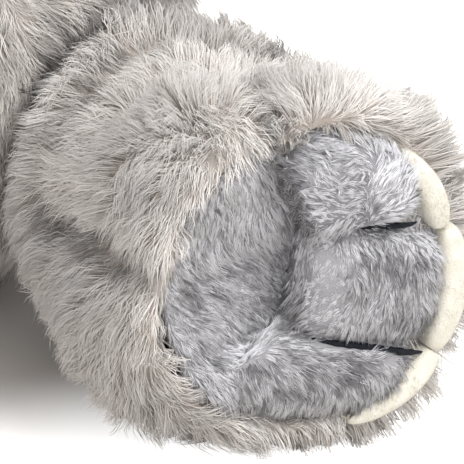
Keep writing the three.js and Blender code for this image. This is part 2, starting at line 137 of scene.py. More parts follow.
# Arrays straight into a new object's mesh, with its own map and shading ways where they are given
def storeMesh(name, points, quads, tris, material, uv=None, ways=None):
    mesh = bpy.data.meshes.new(name)
    loops = np.concatenate([quads.ravel(), tris.ravel()]).astype(np.int32)
    starts = np.concatenate([np.arange(len(quads)) * 4, quads.size + np.arange(len(tris)) * 3])
    mesh.vertices.add(len(points))
    mesh.vertices.foreach_set("co", (points * mm).astype(np.float32).ravel())
    mesh.loops.add(len(loops))
    mesh.loops.foreach_set("vertex_index", loops)
    mesh.polygons.add(len(starts))
    mesh.polygons.foreach_set("loop_start", starts.astype(np.int32))
    if uv is not None:
        mesh.uv_layers.new(name="OFBake").data.foreach_set("uv", uv.astype(np.float32).ravel())
    mesh.update(calc_edges=True)
    mesh.polygons.foreach_set("use_smooth", np.ones(len(starts), dtype=bool))
    if ways is not None:
        mesh.normals_split_custom_set_from_vertices(ways.tolist())
    mesh.materials.append(material)
    piece = bpy.data.objects.new(name, mesh)
    bpy.context.scene.collection.objects.link(piece)
    return piece


def hold(piece, body, bend=None):  # a piece rides on its body; with a bend it only has its transform applied where it stands
    if bend is None:
        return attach(piece, body)
    start, end = (tuple(np.array(p) * mm) for p in bend["span"])
    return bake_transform(piece)


def addForm(name, form, body, slot, nodes, bend=None):  # a form as a piece, with its slot's ground
    piece = storeMesh(name, form["points"], form["quads"], form["fans"], grounds[slot])
    hold(piece, body, bend)
    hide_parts(*nodes)


# Camera: straight at the front, raised a little, close on the sole of the left hind foot
view = {
    "elevation": 20.0, "distance": 1500.0, "frame": 144.0, "sole": at(152.2, -171.2, 60.0),
    "right": at(-22.6, 0, 0), "rise": 14.3, "sensor": 36.0, "clip": 1000.0,
}
tilt = math.radians(view["elevation"])
toCamera = at(0, -math.cos(tilt), math.sin(tilt))
viewUp = at(0, math.sin(tilt), math.cos(tilt))
aim = view["sole"] + view["right"] + view["rise"] * viewUp
cameraData = bpy.data.cameras.new("camera")
cameraData.sensor_width = view["sensor"]
cameraData.lens = view["sensor"] * view["distance"] / view["frame"]
cameraData.clip_end = view["clip"]
camera = bpy.data.objects.new("camera", cameraData)
bpy.context.scene.collection.objects.link(camera)
camera.location = Vector((aim + toCamera * view["distance"]) * mm)
camera.rotation_mode = "QUATERNION"
camera.rotation_quaternion = Vector(-toCamera).to_track_quat("-Z", "Y")
bpy.context.scene.camera = camera
print("camera placed")


# Finishes
def newGroup(name, inputs, outputs):  # an empty shader node group with named sockets
    group = bpy.data.node_groups.new(name, "ShaderNodeTree")
    for way, items in (("INPUT", inputs), ("OUTPUT", outputs)):
        for label, kind in items.items():
            group.interface.new_socket(label, in_out=way, socket_type=f"NodeSocket{kind}")
    return group, group.nodes.new("NodeGroupInput").outputs, group.nodes.new("NodeGroupOutput").inputs


def addNode(tree, kind, **links):  # a node with values or other nodes' sockets on its named inputs
    node = tree.nodes.new(f"ShaderNode{kind}")
    for label, value in links.items():
        setSocket(tree, node.inputs[label], value)
    return node


def setSocket(tree, socket, value):  # a link from another socket, or else a plain value
    if isinstance(value, bpy.types.NodeSocket):
        tree.links.new(value, socket)
    else:
        socket.default_value = value


def mixColours(tree, factor, first, second, blend="MIX"):  # two colours mixed or multiplied, by a factor
    mix = tree.nodes.new("ShaderNodeMix")
    mix.data_type = "RGBA"
    mix.blend_type = blend
    for socket, value in ((0, factor), (6, first), (7, second)):
        setSocket(tree, mix.inputs[socket], value)
    return mix.outputs[2]


def mapValue(tree, value, span, result, kind="SMOOTHSTEP"):  # the span of a value mapped to a result
    node = tree.nodes.new("ShaderNodeMapRange")
    node.interpolation_type = kind
    for socket, number in enumerate((value, *span, *result)):
        setSocket(tree, node.inputs[socket], number)
    return node.outputs[0]


def mathNode(tree, operation, first, second):  # one operation on two values
    node = tree.nodes.new("ShaderNodeMath")
    node.operation = operation
    for socket, value in enumerate((first, second)):
        setSocket(tree, node.inputs[socket], value)
    return node.outputs[0]


strandTones = {
    "lower": (0.05, 0.5), "upper": (0.5, 1.0), "tones": (0.74, 1.22),
    "deep": (0.0, 0.2), "deepTones": (0.45, 1.0),
}


def makeStrandShade():  # root to body to tip along v, darker to lighter strands along u, darkest at its start, where the lowest u is pushed darker still as painted shade
    colours = {"Root": "Color", "Body": "Color", "Tip": "Color"}
    group, given, out = newGroup("strandShade", {"Place": "Vector", **colours}, {"Colour": "Color"})
    u, v = addNode(group, "SeparateXYZ", Vector=given["Place"]).outputs[:2]
    lower = mixColours(group, mapValue(group, v, strandTones["lower"], (0, 1)), given["Root"], given["Body"])
    upper = mixColours(group, mapValue(group, v, strandTones["upper"], (0, 1)), lower, given["Tip"])
    tone = mapValue(group, u, (0, 1), strandTones["tones"], "LINEAR")
    toned = mixColours(group, 1.0, upper, tone, "MULTIPLY")
    # painted shade: the lowest tones darkened further, used by the crease strands
    deep = mapValue(group, u, strandTones["deep"], strandTones["deepTones"])
    group.links.new(mixColours(group, 1.0, toned, deep, "MULTIPLY"), out["Colour"])
    return group


clothTones = {
    "patch": (0.3, 0.7), "loop": (0.0, 0.6), "loopTones": (1.0, 0.88),
    "detail": 4.0, "bump": 0.5, "specular": 0.2,
}


def makeClothGround():  # knitted ground between the pile: patchy colour, painted shade between the fine loops, fine loops for bump
    inputs = {"Place": "Vector", "Dark": "Color", "Light": "Color", "Patch": "Float", "Loop": "Float"}
    group, given, out = newGroup("clothGround", inputs, {"Colour": "Color", "Height": "Float"})
    noise = {"Vector": given["Place"], "Scale": given["Patch"], "Detail": clothTones["detail"]}
    patches = addNode(group, "TexNoise", **noise).outputs[0]
    loops = addNode(group, "TexVoronoi", Vector=given["Place"], Scale=given["Loop"]).outputs["Distance"]
    share = mapValue(group, patches, clothTones["patch"], (0, 1))
    base = mixColours(group, share, given["Dark"], given["Light"])
    # painted shade: colour darker towards the low edges of each loop
    loopShade = mapValue(group, loops, clothTones["loop"], clothTones["loopTones"])
    group.links.new(mixColours(group, 1.0, base, loopShade, "MULTIPLY"), out["Colour"])
    group.links.new(mapValue(group, loops, clothTones["loop"], (1.0, 0.0)), out["Height"])
    return group


strandGloss = {"roughness": 0.72, "specular": 0.25}
strandShade = makeStrandShade()
clothGround = makeClothGround()


def linear(red, green, blue):  # sRGB bytes to a linear colour
    share = at(red, green, blue) / 255
    straight = np.where(share <= 0.04045, share / 12.92, ((share + 0.055) / 1.055) ** 2.4)
    return (*straight.tolist(), 1.0)


def newMaterial(name, roughness, specular):  # a material, its tree and its shader
    material = bpy.data.materials.new(name)
    material.use_nodes = True
    shader = material.node_tree.nodes["Principled BSDF"]
    shader.inputs["Roughness"].default_value = roughness
    shader.inputs["Specular IOR Level"].default_value = specular
    return material, material.node_tree, shader


def groupNode(tree, group, place, **values):  # a shared effect at a place, with its own values
    node = tree.nodes.new("ShaderNodeGroup")
    node.node_tree = group
    for label, value in {"Place": place, **values}.items():
        setSocket(tree, node.inputs[label], value)
    return node.outputs


def pileFinish(name, root, body, tip):  # strands coloured by their own map
    material, tree, shader = newMaterial(name, **strandGloss)
    place = tree.nodes.new("ShaderNodeUVMap")
    place.uv_map = "OFBake"
    colours = {"Root": linear(*root), "Body": linear(*body), "Tip": linear(*tip)}
    shade = groupNode(tree, strandShade, place.outputs[0], **colours)
    tree.links.new(shade["Colour"], shader.inputs["Base Color"])
    return material


def clothFinish(name, dark, light, patch, loop, depth, roughness=0.9):  # knitted ground with a bump of loops
    material, tree, shader = newMaterial(name, roughness, clothTones["specular"])
    place = tree.nodes.new("ShaderNodeTexCoord").outputs["Object"]
    colours = {"Dark": linear(*dark), "Light": linear(*light)}
    ground = groupNode(tree, clothGround, place, **colours, Patch=patch, Loop=loop)
    tree.links.new(ground["Colour"], shader.inputs["Base Color"])
    bump = addNode(tree, "Bump", Strength=clothTones["bump"], Distance=depth * mm, Height=ground["Height"])
    tree.links.new(bump.outputs[0], shader.inputs["Normal"])
    return material


plasticTones = {"scale": 260.0, "clouds": (0.35, 0.65), "coatRoughness": 0.04, "specular": 0.5}


def plasticFinish(name, dark, light, roughness, coat):  # faint clouds of colour under a smooth moulded skin
    material, tree, shader = newMaterial(name, roughness, plasticTones["specular"])
    shader.inputs["Coat Weight"].default_value = coat
    shader.inputs["Coat Roughness"].default_value = plasticTones["coatRoughness"]
    place = tree.nodes.new("ShaderNodeTexCoord").outputs["Object"]
    clouds = addNode(tree, "TexNoise", Vector=place, Scale=plasticTones["scale"]).outputs[0]
    share = mapValue(tree, clouds, plasticTones["clouds"], (0, 1))
    tree.links.new(mixColours(tree, share, linear(*dark), linear(*light)), shader.inputs["Base Color"])
    return material


piles = {  # strands by slot
    "long_pile": pileFinish("longPile", (194, 182, 173), (238, 233, 228), (252, 250, 248)),
    "short_pile": pileFinish("shortPile", (130, 129, 133), (231, 230, 234), (253, 253, 255)),
    "cream_felt": pileFinish("feltPile", (228, 224, 209), (235, 232, 219), (239, 236, 225)),
}
grounds = {  # forms by slot
    "long_pile": clothFinish("longGround", (174, 163, 155), (198, 189, 182), 60, 900, 0.6),
    "short_pile": clothFinish("shortGround", (146, 145, 149), (170, 169, 173), 80, 1200, 0.4),
    "cream_felt": clothFinish("creamFelt", (234, 229, 215), (245, 241, 229), 220, 1600, 0.25),
    "dark_thread": clothFinish("navyThread", (12, 15, 22), (30, 34, 44), 400, 2400, 0.3, 0.6),
    "eye_plastic": plasticFinish("eyePlastic", (14, 10, 9), (34, 24, 19), 0.12, 1.0),
}
pelletCloth = clothFinish("pelletCloth", (206, 200, 190), (222, 217, 208), 40, 1500, 0.3)
washerPlastic = plasticFinish("washerPlastic", (220, 220, 216), (234, 234, 230), 0.45, 0.0)
print("finishes made")


# Strands
def oneForm(forms):  # the corners and triangles of several forms as one, for strands only
    starts = np.cumsum([0] + [len(form["points"]) for form in forms])
    return {
        "points": np.concatenate([form["points"] for form in forms]),
        "tris": np.concatenate([form["tris"] + start for form, start in zip(forms, starts)]),
    }


def scatter(form, count, draw, density):  # roots drawn by area times density, with smooth normals
    points, tris = form["points"], form["tris"]
    a, b, c = (points[tris[:, q]] for q in range(3))
    cross = np.cross(b - a, c - a)
    smooth = np.zeros_like(points)
    for q in range(3):
        np.add.at(smooth, tris[:, q], cross)
    smooth = unit(smooth)
    share = norm(cross) * density((a + b + c) / 3, unit(cross))
    picked = draw.choice(len(tris), count, p=share / share.sum())
    s, t = draw.random((2, count))
    over = s + t > 1
    s, t = np.where(over, 1 - s, s)[:, None], np.where(over, 1 - t, t)[:, None]
    first, second, third = tris[picked].T
    mixAt = lambda data: data[first] * (1 - s - t) + data[second] * s + data[third] * t
    return mixAt(points), unit(mixAt(smooth))


combForm = {"heart": 12.0, "wide": 34.0, "narrow": 13.0, "narrowShare": 0.6}


def combed(lay, whorls=(), stray=0.0, seed=0):  # lay plus a push away from each whorl, flat on the surface
    def flow(points, normals):
        way = lay(points) if callable(lay) else np.broadcast_to(np.array(lay, float), points.shape)
        for centre, reach, strength in whorls:
            away = points - centre
            far = norm(away)[:, None]
            way = way + strength * bell(far, reach) * (1 - bell(far, combForm["heart"])) * unit(away)
        way = unit(way - np.sum(way * normals, axis=1, keepdims=True) * normals)
        turn = stray * waves(points, combForm["wide"], seed)
        turn = turn + combForm["narrowShare"] * stray * waves(points, combForm["narrow"], seed + 1)
        return way * np.cos(turn)[:, None] + np.cross(normals, way) * np.sin(turn)[:, None]
    return flow


def gather(roots, perLock, draw):  # every root joins the nearest of some roots drawn as leaders
    count = max(4, len(roots) // perLock)
    chosen = draw.choice(len(roots), count, replace=False)
    tree = KDTree(count)
    for i, root in enumerate(roots[chosen]):
        tree.insert(root, i)
    tree.balance()
    owner = np.array([tree.find(root)[1] for root in roots])
    return chosen[owner], owner, count


strandForm = {
    "lockRise": 0.22, "tuftRise": 0.28, "strandRise": 0.15, "rises": (0.08, 0.95), "lowRise": 0.05,
    "lockLength": 0.14, "lengths": (0.3, 2.0), "lockTone": 0.12, "tuftTone": 0.8, "strandTone": 0.12,
    "patchTone": 0.1, "patch": 46.0, "thicks": (0.75, 1.25), "taper": 0.45, "taperPower": 1.5,
    "lean": 1.12, "bow": 1.1, "curlTurn": 3.5, "closing": 1.2, "floor": 0.4, "floorSpread": 0.8,
}


# A strand leans along the flow, rises fast and then lies over; the strands of a lock close up to its tip
def growStrands(roots, normals, flow, pile, draw):
    count = len(roots)
    form = strandForm
    ask = lambda key, otherwise: pile[key](roots) if key in pile else otherwise
    leader, owner, lockCount = gather(roots, pile["perLock"], draw)
    tuftLeader, tuft, tuftCount = gather(roots, pile["perTuft"], draw)
    lockTurn = pile["lockTurn"] * draw.normal(size=lockCount)
    tuftTurn = pile["tuftTurn"] * draw.normal(size=tuftCount)
    lockRise = 1 + form["lockRise"] * draw.normal(size=lockCount)
    lockRise = lockRise[owner] + (form["tuftRise"] * draw.normal(size=tuftCount))[tuft]
    lockLength = 1 + form["lockLength"] * draw.normal(size=lockCount)
    lockTone = draw.normal(size=lockCount)[owner] + form["tuftTone"] * draw.normal(size=tuftCount)[tuft]
    lay = flow(roots, normals)
    turn = lockTurn[owner] + tuftTurn[tuft] + pile["strandTurn"] * draw.normal(size=count)
    way = lay * np.cos(turn)[:, None] + np.cross(normals, lay) * np.sin(turn)[:, None]
    side = np.cross(normals, way)
    length = np.clip(lockLength[owner] + pile["spread"] * draw.uniform(-1, 1, count), *form["lengths"])
    length = pile["length"] * length * ask("lengthAt", 1)
    rise = np.clip(pile["rise"] * (lockRise + form["strandRise"] * draw.normal(size=count)), *form["rises"])
    rise = np.clip(rise * ask("riseAt", 1), form["lowRise"], form["rises"][1])
    along = np.linspace(0, 1, pile["levels"] + 1)
    ahead = (np.sqrt(1 - rise**2) * length)[:, None] * along ** form["lean"]
    above = (rise * length)[:, None] * ((1 + form["bow"]) * along - form["bow"] * along**2) - pile["sink"]
    curl = np.sin(draw.uniform(0, 6.3, count)[:, None] + form["curlTurn"] * along) * along
    curl = (pile["curl"] * length)[:, None] * curl
    curves = roots[:, None] + way[:, None] * ahead[..., None] + normals[:, None] * above[..., None]
    curves = curves + side[:, None] * curl[..., None]
    curves[..., 2] -= pile["sag"] * length[:, None] * along**2
    loose = ask("pullAt", np.ones(count))[:, None, None]
    for head, pull in ((leader, pile["pull"]), (tuftLeader, pile["tuftPull"])):
        closing = curves[head] + (roots - roots[head])[:, None] * (1 - pile["tight"] * along)[:, None]
        share = (pull * along ** form["closing"])[:, None] * loose
        curves = curves * (1 - share) + closing * share
    lowest = form["floor"] + form["floorSpread"] * draw.random(count)
    curves[..., 2] = np.maximum(curves[..., 2], lowest[:, None])
    tone = form["lockTone"] * lockTone + form["strandTone"] * draw.normal(size=count)
    tone = tone + form["patchTone"] * waves(roots, form["patch"], 5)
    tone = 0.5 + pile.get("toneSpread", 1.0) * tone + ask("toneAt", 0)
    return curves, np.clip(tone, 0, 0.999)


strandMap = {
    "columns": 64, "parts": (0.15, 0.5, 0.85), "roots": (0.0, 0.28), "tips": (0.72, 0.99), "end": 0.02,
}


# Each strand is a three-sided tube from a closed root to a point, lit partly as the skin below it
def strandMesh(curves, normals, tone, pile, draw):
    count, levels = curves.shape[:2]
    rings = levels - 1
    tangent = unit(np.gradient(curves, axis=1))
    first = unit(np.cross(tangent, normals[:, None]))
    second = np.cross(tangent, first)
    along = np.linspace(0, 1, levels)[:rings]
    taper = 1 - strandForm["taper"] * along ** strandForm["taperPower"]
    thick = (pile["width"] * draw.uniform(*strandForm["thicks"], count))[:, None] * taper
    turns = circle(3)[:, None]
    spokes = first[:, :rings, None] * np.cos(turns) + second[:, :rings, None] * np.sin(turns)
    ring = curves[:, :rings, None] + thick[..., None, None] * spokes
    points = np.concatenate([ring.reshape(count, rings * 3, 3), curves[:, -1:]], axis=1).reshape(-1, 3)
    ways = np.concatenate([spokes.reshape(count, rings * 3, 3), tangent[:, -1:]], axis=1)
    ways = unit(pile["skin"] * normals[:, None] + (1 - pile["skin"]) * ways).reshape(-1, 3)

    starts = (np.arange(count) * (rings * 3 + 1))[:, None, None]
    j, q = np.meshgrid(np.arange(rings - 1), np.arange(3), indexing="ij")
    n = (q + 1) % 3
    band = np.stack([3 * j + q, 3 * j + n, 3 * j + 3 + n, 3 * j + 3 + q], axis=-1).reshape(1, -1, 4)
    q = np.arange(3)
    last = 3 * (rings - 1)
    tip = np.stack([last + q, last + (q + 1) % 3, np.full(3, 3 * rings)], axis=-1)
    ends = np.concatenate([tip, [[0, 2, 1]]])[None]
    quads, tris = (starts + band).reshape(-1, 4), (starts + ends).reshape(-1, 3)

    columns = strandMap["columns"]
    left, middle, right = ((np.floor(tone * columns) + part) / columns for part in strandMap["parts"])
    low, high = draw.uniform(*strandMap["roots"], count), draw.uniform(*strandMap["tips"], count)
    heights = low[:, None] + (high - low)[:, None] * np.linspace(0, 1, levels)
    quadUv = np.empty((count, rings - 1, 3, 4, 2))
    quadUv[..., 0] = np.stack([left, right, right, left], axis=-1)[:, None, None]
    quadUv[..., 0:2, 1] = heights[:, : rings - 1, None, None]
    quadUv[..., 2:4, 1] = heights[:, 1:rings, None, None]
    triUv = np.empty((count, 4, 3, 2))
    triUv[..., 0] = np.stack([left, right, middle], axis=-1)[:, None]
    triUv[:, :3, 0:2, 1] = heights[:, rings - 1, None, None]
    triUv[:, :3, 2, 1] = heights[:, -1, None]
    triUv[:, 3, :, 1] = heights[:, :1] + at(0, 0, strandMap["end"])
    return points, quads, tris, np.concatenate([quadUv.ravel(), triUv.ravel()]), ways


# Fur on a form, split into pieces of a size that exports whole
def addFur(name, form, flow, pile, body, slot, seed, density=None, bend=None):
    draw = np.random.default_rng(seed)
    count = int(pile["count"] * strandShare)
    everywhere = lambda middle, normal: np.ones(len(middle))
    roots, normals = scatter(form, count, draw, density or everywhere)
    curves, tone = growStrands(roots, normals, flow, pile, draw)
    parts = math.ceil(count / pile["perPiece"])
    for part in range(parts):
        pick = slice(part, None, parts)
        points, quads, tris, uv, ways = strandMesh(curves[pick], normals[pick], tone[pick], pile, draw)
        label = name if parts == 1 else f"{name}_{part + 1}"
        piece = storeMesh(label, points, quads, tris, piles[slot], uv, ways)
        hold(piece, body, bend)


coarsePile = {
    "length": 13.0, "spread": 0.25, "rise": 0.44, "levels": 1, "sink": 0.6, "curl": 0.0, "sag": 0.08,
    "perLock": 6, "perTuft": 60, "lockTurn": 0.2, "tuftTurn": 0.18, "strandTurn": 0.16,
    "pull": 0.45, "tuftPull": 0.25, "tight": 0.8, "width": 0.46, "perPiece": 46000, "skin": 0.7,
}
finePile = {
    "length": 11.5, "spread": 0.3, "rise": 0.46, "levels": 2, "sink": 0.6, "curl": 0.08, "sag": 0.05,
    "perLock": 10, "perTuft": 150, "lockTurn": 0.24, "tuftTurn": 0.24, "strandTurn": 0.3,
    "pull": 0.35, "tuftPull": 0.3, "tight": 0.75, "width": 0.14, "perPiece": 18000, "skin": 0.7,
}

# Sizes of the torso, the head and the legs
torso = {
    "centre": at(0, 0, 135), "radii": at(130, 128, 150), "pile": 8.0, "rings": 72, "sides": 110, "seat": 2.0,
    "chest": 0.14, "chestFrom": 60.0, "chestTo": 170.0, "wave": 2.2, "waveSize": 90,
    "plump": 13.0, "plumpAt": at(78, -92, 110), "plumpReach": 40.0,
    "dip": 6.0, "dipWidth": 7.0, "dipFront": (50, 70),
}
head = {
    "centre": at(0, -26, 345), "radii": at(106, 98, 98), "pile": 8.0, "rings": 60, "sides": 96,
    "muzzle": at(0, -122, 322), "muzzleReach": 48.0, "muzzleHeight": 5.0, "wave": 1.5, "waveSize": 70,
}
hindLeg = {
    "name": "hind", "pivot": at(110.092, -84.955, 60.0), "splay": 26.0, "droop": 0.0, "toeTurn": 0.0,
    "root": 56.0, "foot": 60.0, "length": 96.0,
}
frontLeg = {
    "name": "front", "pivot": at(114.048, -49.312, 212.702), "splay": 46.8, "droop": 25.0, "toeTurn": 50.0,
    "root": 42.0, "foot": 44.0, "length": 70.0,
}
legs = [(limb, side, f"{limb['name']}_{word}") for limb in (hindLeg, frontLeg) for side, word in bothSides]


def limbFrame(limb):  # rows are toe way, up across the sole, and the way the leg points
    splay, droop, turn = (math.radians(limb[key]) for key in ("splay", "droop", "toeTurn"))
    axis = at(math.cos(droop) * math.sin(splay), -math.cos(droop) * math.cos(splay), -math.sin(droop))
    upright = unit(up - axis[2] * axis)
    across = np.cross(upright, axis)
    toes = math.cos(turn) * across + math.sin(turn) * upright
    return np.stack([toes, math.cos(turn) * upright - math.sin(turn) * across, axis])


def toWorld(local, limb, side):  # pivot plus local places along the limb's rows
    return mirrored(limb["pivot"] + local @ limbFrame(limb), side)


def toLimb(world, limb, side):  # the same, turned back
    return (mirrored(world, side) - limb["pivot"]) @ limbFrame(limb).T


def eggRings(shape):  # ellipse radii times sin and cos of the polar angle, about the centre
    polar = np.linspace(0, np.pi, shape["rings"] + 2)[1:-1, None]
    turn = circle(shape["sides"])[None]
    ball = [np.sin(polar) * np.cos(turn), np.sin(polar) * np.sin(turn), -np.cos(polar) + 0 * turn]
    return shape["centre"] + np.stack(ball, axis=-1) * (shape["radii"] - shape["pile"])


def insideEgg(points, shape, grow):  # below 1 inside the egg
    return norm((points - shape["centre"]) / (shape["radii"] + grow))


def insideLimb(points, limb, side, grow):  # below 1 inside the round root or the tube of a leg
    local = toLimb(points, limb, side)
    widening = (limb["foot"] - limb["root"]) * np.clip(local[..., 2] / limb["length"], 0, 1)
    flat = norm(local[..., :2]) / (limb["root"] + widening + grow)
    return np.where(local[..., 2] > 0, flat, norm(local) / (limb["root"] + grow))


def pushFromLimb(points, limb, side, grow):  # points inside a leg's root move straight out to its surface
    local = toLimb(points, limb, side)
    share = np.maximum(insideLimb(points, limb, side, grow), 1e-3)
    scale = np.where(share < 1, 1 / share, 1)
    local[..., :2] *= scale[..., None]
    local[..., 2] = np.where(local[..., 2] > 0, local[..., 2], local[..., 2] * scale)
    return toWorld(local, limb, side)


# Legs: a plump sleeve from a rounded root to a rim that rolls over the edge of the sole
legShape = {
    "pile": 7.0, "rings": 64, "sides": 84, "capSteps": 10, "fullAt": 0.8,
    "toes": (-84, -74, 48, 58), "toeDip": 3.5, "dipFrom": at(-8, -1), "thin": 20.0,
    "rim": ((-0.4, -10), (-1.2, -4), (-3, 0.2), (-5, 1.0), (-6.5, -0.5), (-7.5, -5), (-8, -17)),
    "wave": 1.6, "waveSize": 60, "waveFrom": (-30, 20), "waveEnd": 10.0, "lowest": 1.2,
}
legBulges = {  # for each: place along the leg, degrees round it, spread along it, width in degrees, height
    "hindLeft": [
        (8, 122, 13, 44, 15.0), (21, 116, 7, 42, -6.0), (33, 118, 9, 45, 5.0), (60, 122, 20, 30, 4.0),
        (55, 212, 40, 40, 13.0), (60, 148, 34, 15, 6.0), (60, 167, 36, 8, -8.0), (60, 188, 34, 14, 3.0),
        (86, 62, 15, 26, 6.0), (84, 98, 14, 7, -4.5), (46, 78, 18, 26, -6.0),
    ],
    "plain": [(55, 200, 40, 60, 3.0), (85, 90, 16, 60, 2.0)],
}


def legRings(limb, bulges):  # a profile of radii along the leg, spun about it, plus a bell for each bulge
    foot, root, end = limb["foot"] - legShape["pile"], limb["root"] - legShape["pile"], limb["length"]
    scale = limb["foot"] / hindLeg["foot"]
    capTurn = np.linspace(np.pi / 2, 0, legShape["capSteps"])[1:-1]
    cap = [(root * math.cos(t), -root * math.sin(t)) for t in capTurn]
    rim = [(foot + inset * scale, end + rise * scale) for inset, rise in legShape["rim"]]
    profile = np.array(cap + [(root, 0), (foot, legShape["fullAt"] * end)] + rim)
    reach = np.concatenate([[0], np.cumsum(norm(np.diff(profile, axis=0)))])
    steps = np.linspace(0, reach[-1], legShape["rings"])
    radius, along = (np.interp(steps, reach, profile[:, q])[:, None] for q in range(2))
    turn = circle(legShape["sides"])[None]
    toes = window((np.degrees(turn) + 180) % 360 - 180, *legShape["toes"])
    along = along - legShape["toeDip"] * scale * toes * ramp(along - end, *(legShape["dipFrom"] * scale))
    for place, angle, spread, width, height in bulges:
        apart = (turn - math.radians(angle) + np.pi) % (2 * np.pi) - np.pi
        swell = height * np.exp(-(((along - place) / spread) ** 2) - (apart / math.radians(width)) ** 2)
        radius = radius + swell * np.minimum(1, radius / legShape["thin"])
    return np.stack([radius * np.cos(turn), radius * np.sin(turn), along], axis=-1)


legForms = {}
for limb, side, name in legs:
    local = legRings(limb, legBulges["hindLeft" if name == "hind_left" else "plain"])
    rings = toWorld(local, limb, side)
    clear = window(local[..., 2], *legShape["waveFrom"], limb["length"] - legShape["waveEnd"], limb["length"])
    swell = legShape["wave"] * waves(rings, legShape["waveSize"], 41) * clear
    rings = rings + swell[..., None] * unit(rings - toWorld(local * at(0, 0, 1), limb, side))
    rings[..., 2] = np.maximum(rings[..., 2], legShape["lowest"])
    legForms[name] = closedForm(rings)


def legOut(points):  # about how far outside the root of the left hind leg
    place, angle, spread, width, height = legBulges["hindLeft"][0]
    local = toLimb(points, hindLeg, 1)
    apart = (np.degrees(np.arctan2(local[:, 1], local[:, 0])) - angle + 180) % 360 - 180
    swell = height * np.exp(-(((local[:, 2] - place) / spread) ** 2) - (apart / width) ** 2)
    root = hindLeg["root"] - legShape["pile"]
    return (insideLimb(points, hindLeg, 1, -legShape["pile"]) - 1) * root - swell


# Torso: an egg pressed flat where it sits, dished where the head and the legs are sewn on
def slim(height):  # the torso's width there, as a share of the egg's
    return 1 - torso["chest"] * ramp(height, torso["chestFrom"], torso["chestTo"])


def outwards(rings):  # ways from the torso's centre
    return unit(rings - torso["centre"])


rings = eggRings(torso)
rings = rings + torso["wave"] * waves(rings, torso["waveSize"], 11)[..., None] * outwards(rings)
rings[..., 0] *= slim(rings[..., 2])
for side, word in bothSides:  # plump beside each thigh
    apart = norm(rings - mirrored(torso["plumpAt"], side))
    rings = rings + (torso["plump"] * bell(apart, torso["plumpReach"]))[..., None] * outwards(rings)
beside = bell(legOut(rings.reshape(-1, 3)), torso["dipWidth"]).reshape(rings.shape[:2])
dip = torso["dip"] * beside * ramp(-rings[..., 1], *torso["dipFront"])
rings = rings - dip[..., None] * outwards(rings)  # pulled in along the left thigh
rings[..., 2] = np.maximum(rings[..., 2], torso["seat"])
toHead = insideEgg(rings, head, 1 - head["pile"])[..., None]
rings = np.where(toHead < 1, head["centre"] + (rings - head["centre"]) / toHead, rings)
for limb, side, name in legs:
    rings = pushFromLimb(rings, limb, side, 1 - legShape["pile"])
rings[..., 2] = np.maximum(rings[..., 2], torso["seat"])
torsoForm = closedForm(rings)
addForm("torso_cloth", torsoForm, "torso", "long_pile", ["body_skin", "body_stuffing"])


def bare(points):  # 1 where torso fur can grow: outside the head, the legs and the seat
    grow = 2 - legShape["pile"]
    free = (insideEgg(points, head, grow) > 1) & (points[:, 2] > 3)
    for limb, side, name in legs:
        free &= insideLimb(points, limb, side, grow) > 1
    return free


def torsoOut(points):  # about how far outside the plump left side of the torso, before the leg dishes it
    even = points / np.stack([slim(points[:, 2]), *np.ones((2, len(points)))], axis=1)
    far = norm(points - torso["centre"]) * (1 - 1 / insideEgg(even, torso, -torso["pile"]))
    return far - torso["plump"] * bell(norm(points - torso["plumpAt"]), torso["plumpReach"])


# the belly's tone is painted shade, fading out over the paler span
belly = {
    "place": at(70, -105, 115), "reach": 62.0, "whorl": at(59, -108, 117), "tone": -0.2, "paler": (40, 110),
}
torsoWhorls = [(belly["whorl"], 40, 1.2), (at(0, -120, 160), 60, 0.8), (at(0, 120, 200), 80, 0.8)]
torsoFlow = combed((0, 0, -1.0), torsoWhorls, 0.35, 21)
fromBelly = lambda points: norm(points - belly["place"])
nearBelly = lambda points: fromBelly(points) < belly["reach"]
# painted shade: strands darker by up to 0.2 tone near the belly's place, fading out between 40 and 110 mm
bellyPaintedShade = lambda points: belly["tone"] * (1 - ramp(fromBelly(points), *belly["paler"]))
creaseLength = lambda out: 0.2 + 0.8 * ramp(out, 2, 14)
# painted shade: strands darker the closer they lie to the crease, strongest within 3 mm
creasePaintedShade = lambda out: -0.85 * (1 - ramp(out, 3, 8)) - 0.15 * (1 - ramp(out, 8, 18))
torsoPile = {**coarsePile, "count": 33000, "toneAt": bellyPaintedShade}
addFur("torso_fur", torsoForm, torsoFlow, torsoPile, "torso", "long_pile", 31,
       lambda middle, normal: bare(middle) * ~nearBelly(middle) * (normal[:, 2] > -0.9))
bellyPile = {
    **finePile, "count": 14000, "toneSpread": 0.7, "skin": 0.45,
    "lengthAt": lambda points: creaseLength(legOut(points) - 1),
    "riseAt": lambda points: 0.35 + 0.65 * ramp(legOut(points), 2, 14),
    # painted shade: belly strands darker within 5 mm of the thigh, for the crease
    "toneAt": lambda points: bellyPaintedShade(points) - 0.6 * (1 - ramp(legOut(points), 0, 5)),
}
addFur("torso_fur_belly", torsoForm, torsoFlow, bellyPile, "torso", "long_pile", 32,
       lambda middle, normal: bare(middle) * nearBelly(middle) * (legOut(middle) > -2))
# painted shade: short, very dark strands along the crease between belly and thigh, so it reads as a dark line
creaseShadePile = {
    **coarsePile, "count": 3500, "length": 3.5, "rise": 0.7, "width": 0.26,
    "toneAt": lambda points: np.full(len(points), -0.7),
}
addFur("torso_crease_shade_pile", torsoForm, torsoFlow, creaseShadePile, "torso", "long_pile", 33,
       lambda middle, normal: nearBelly(middle) * (np.abs(legOut(middle)) < 4) * (torsoOut(middle) > -4))
print("torso done")


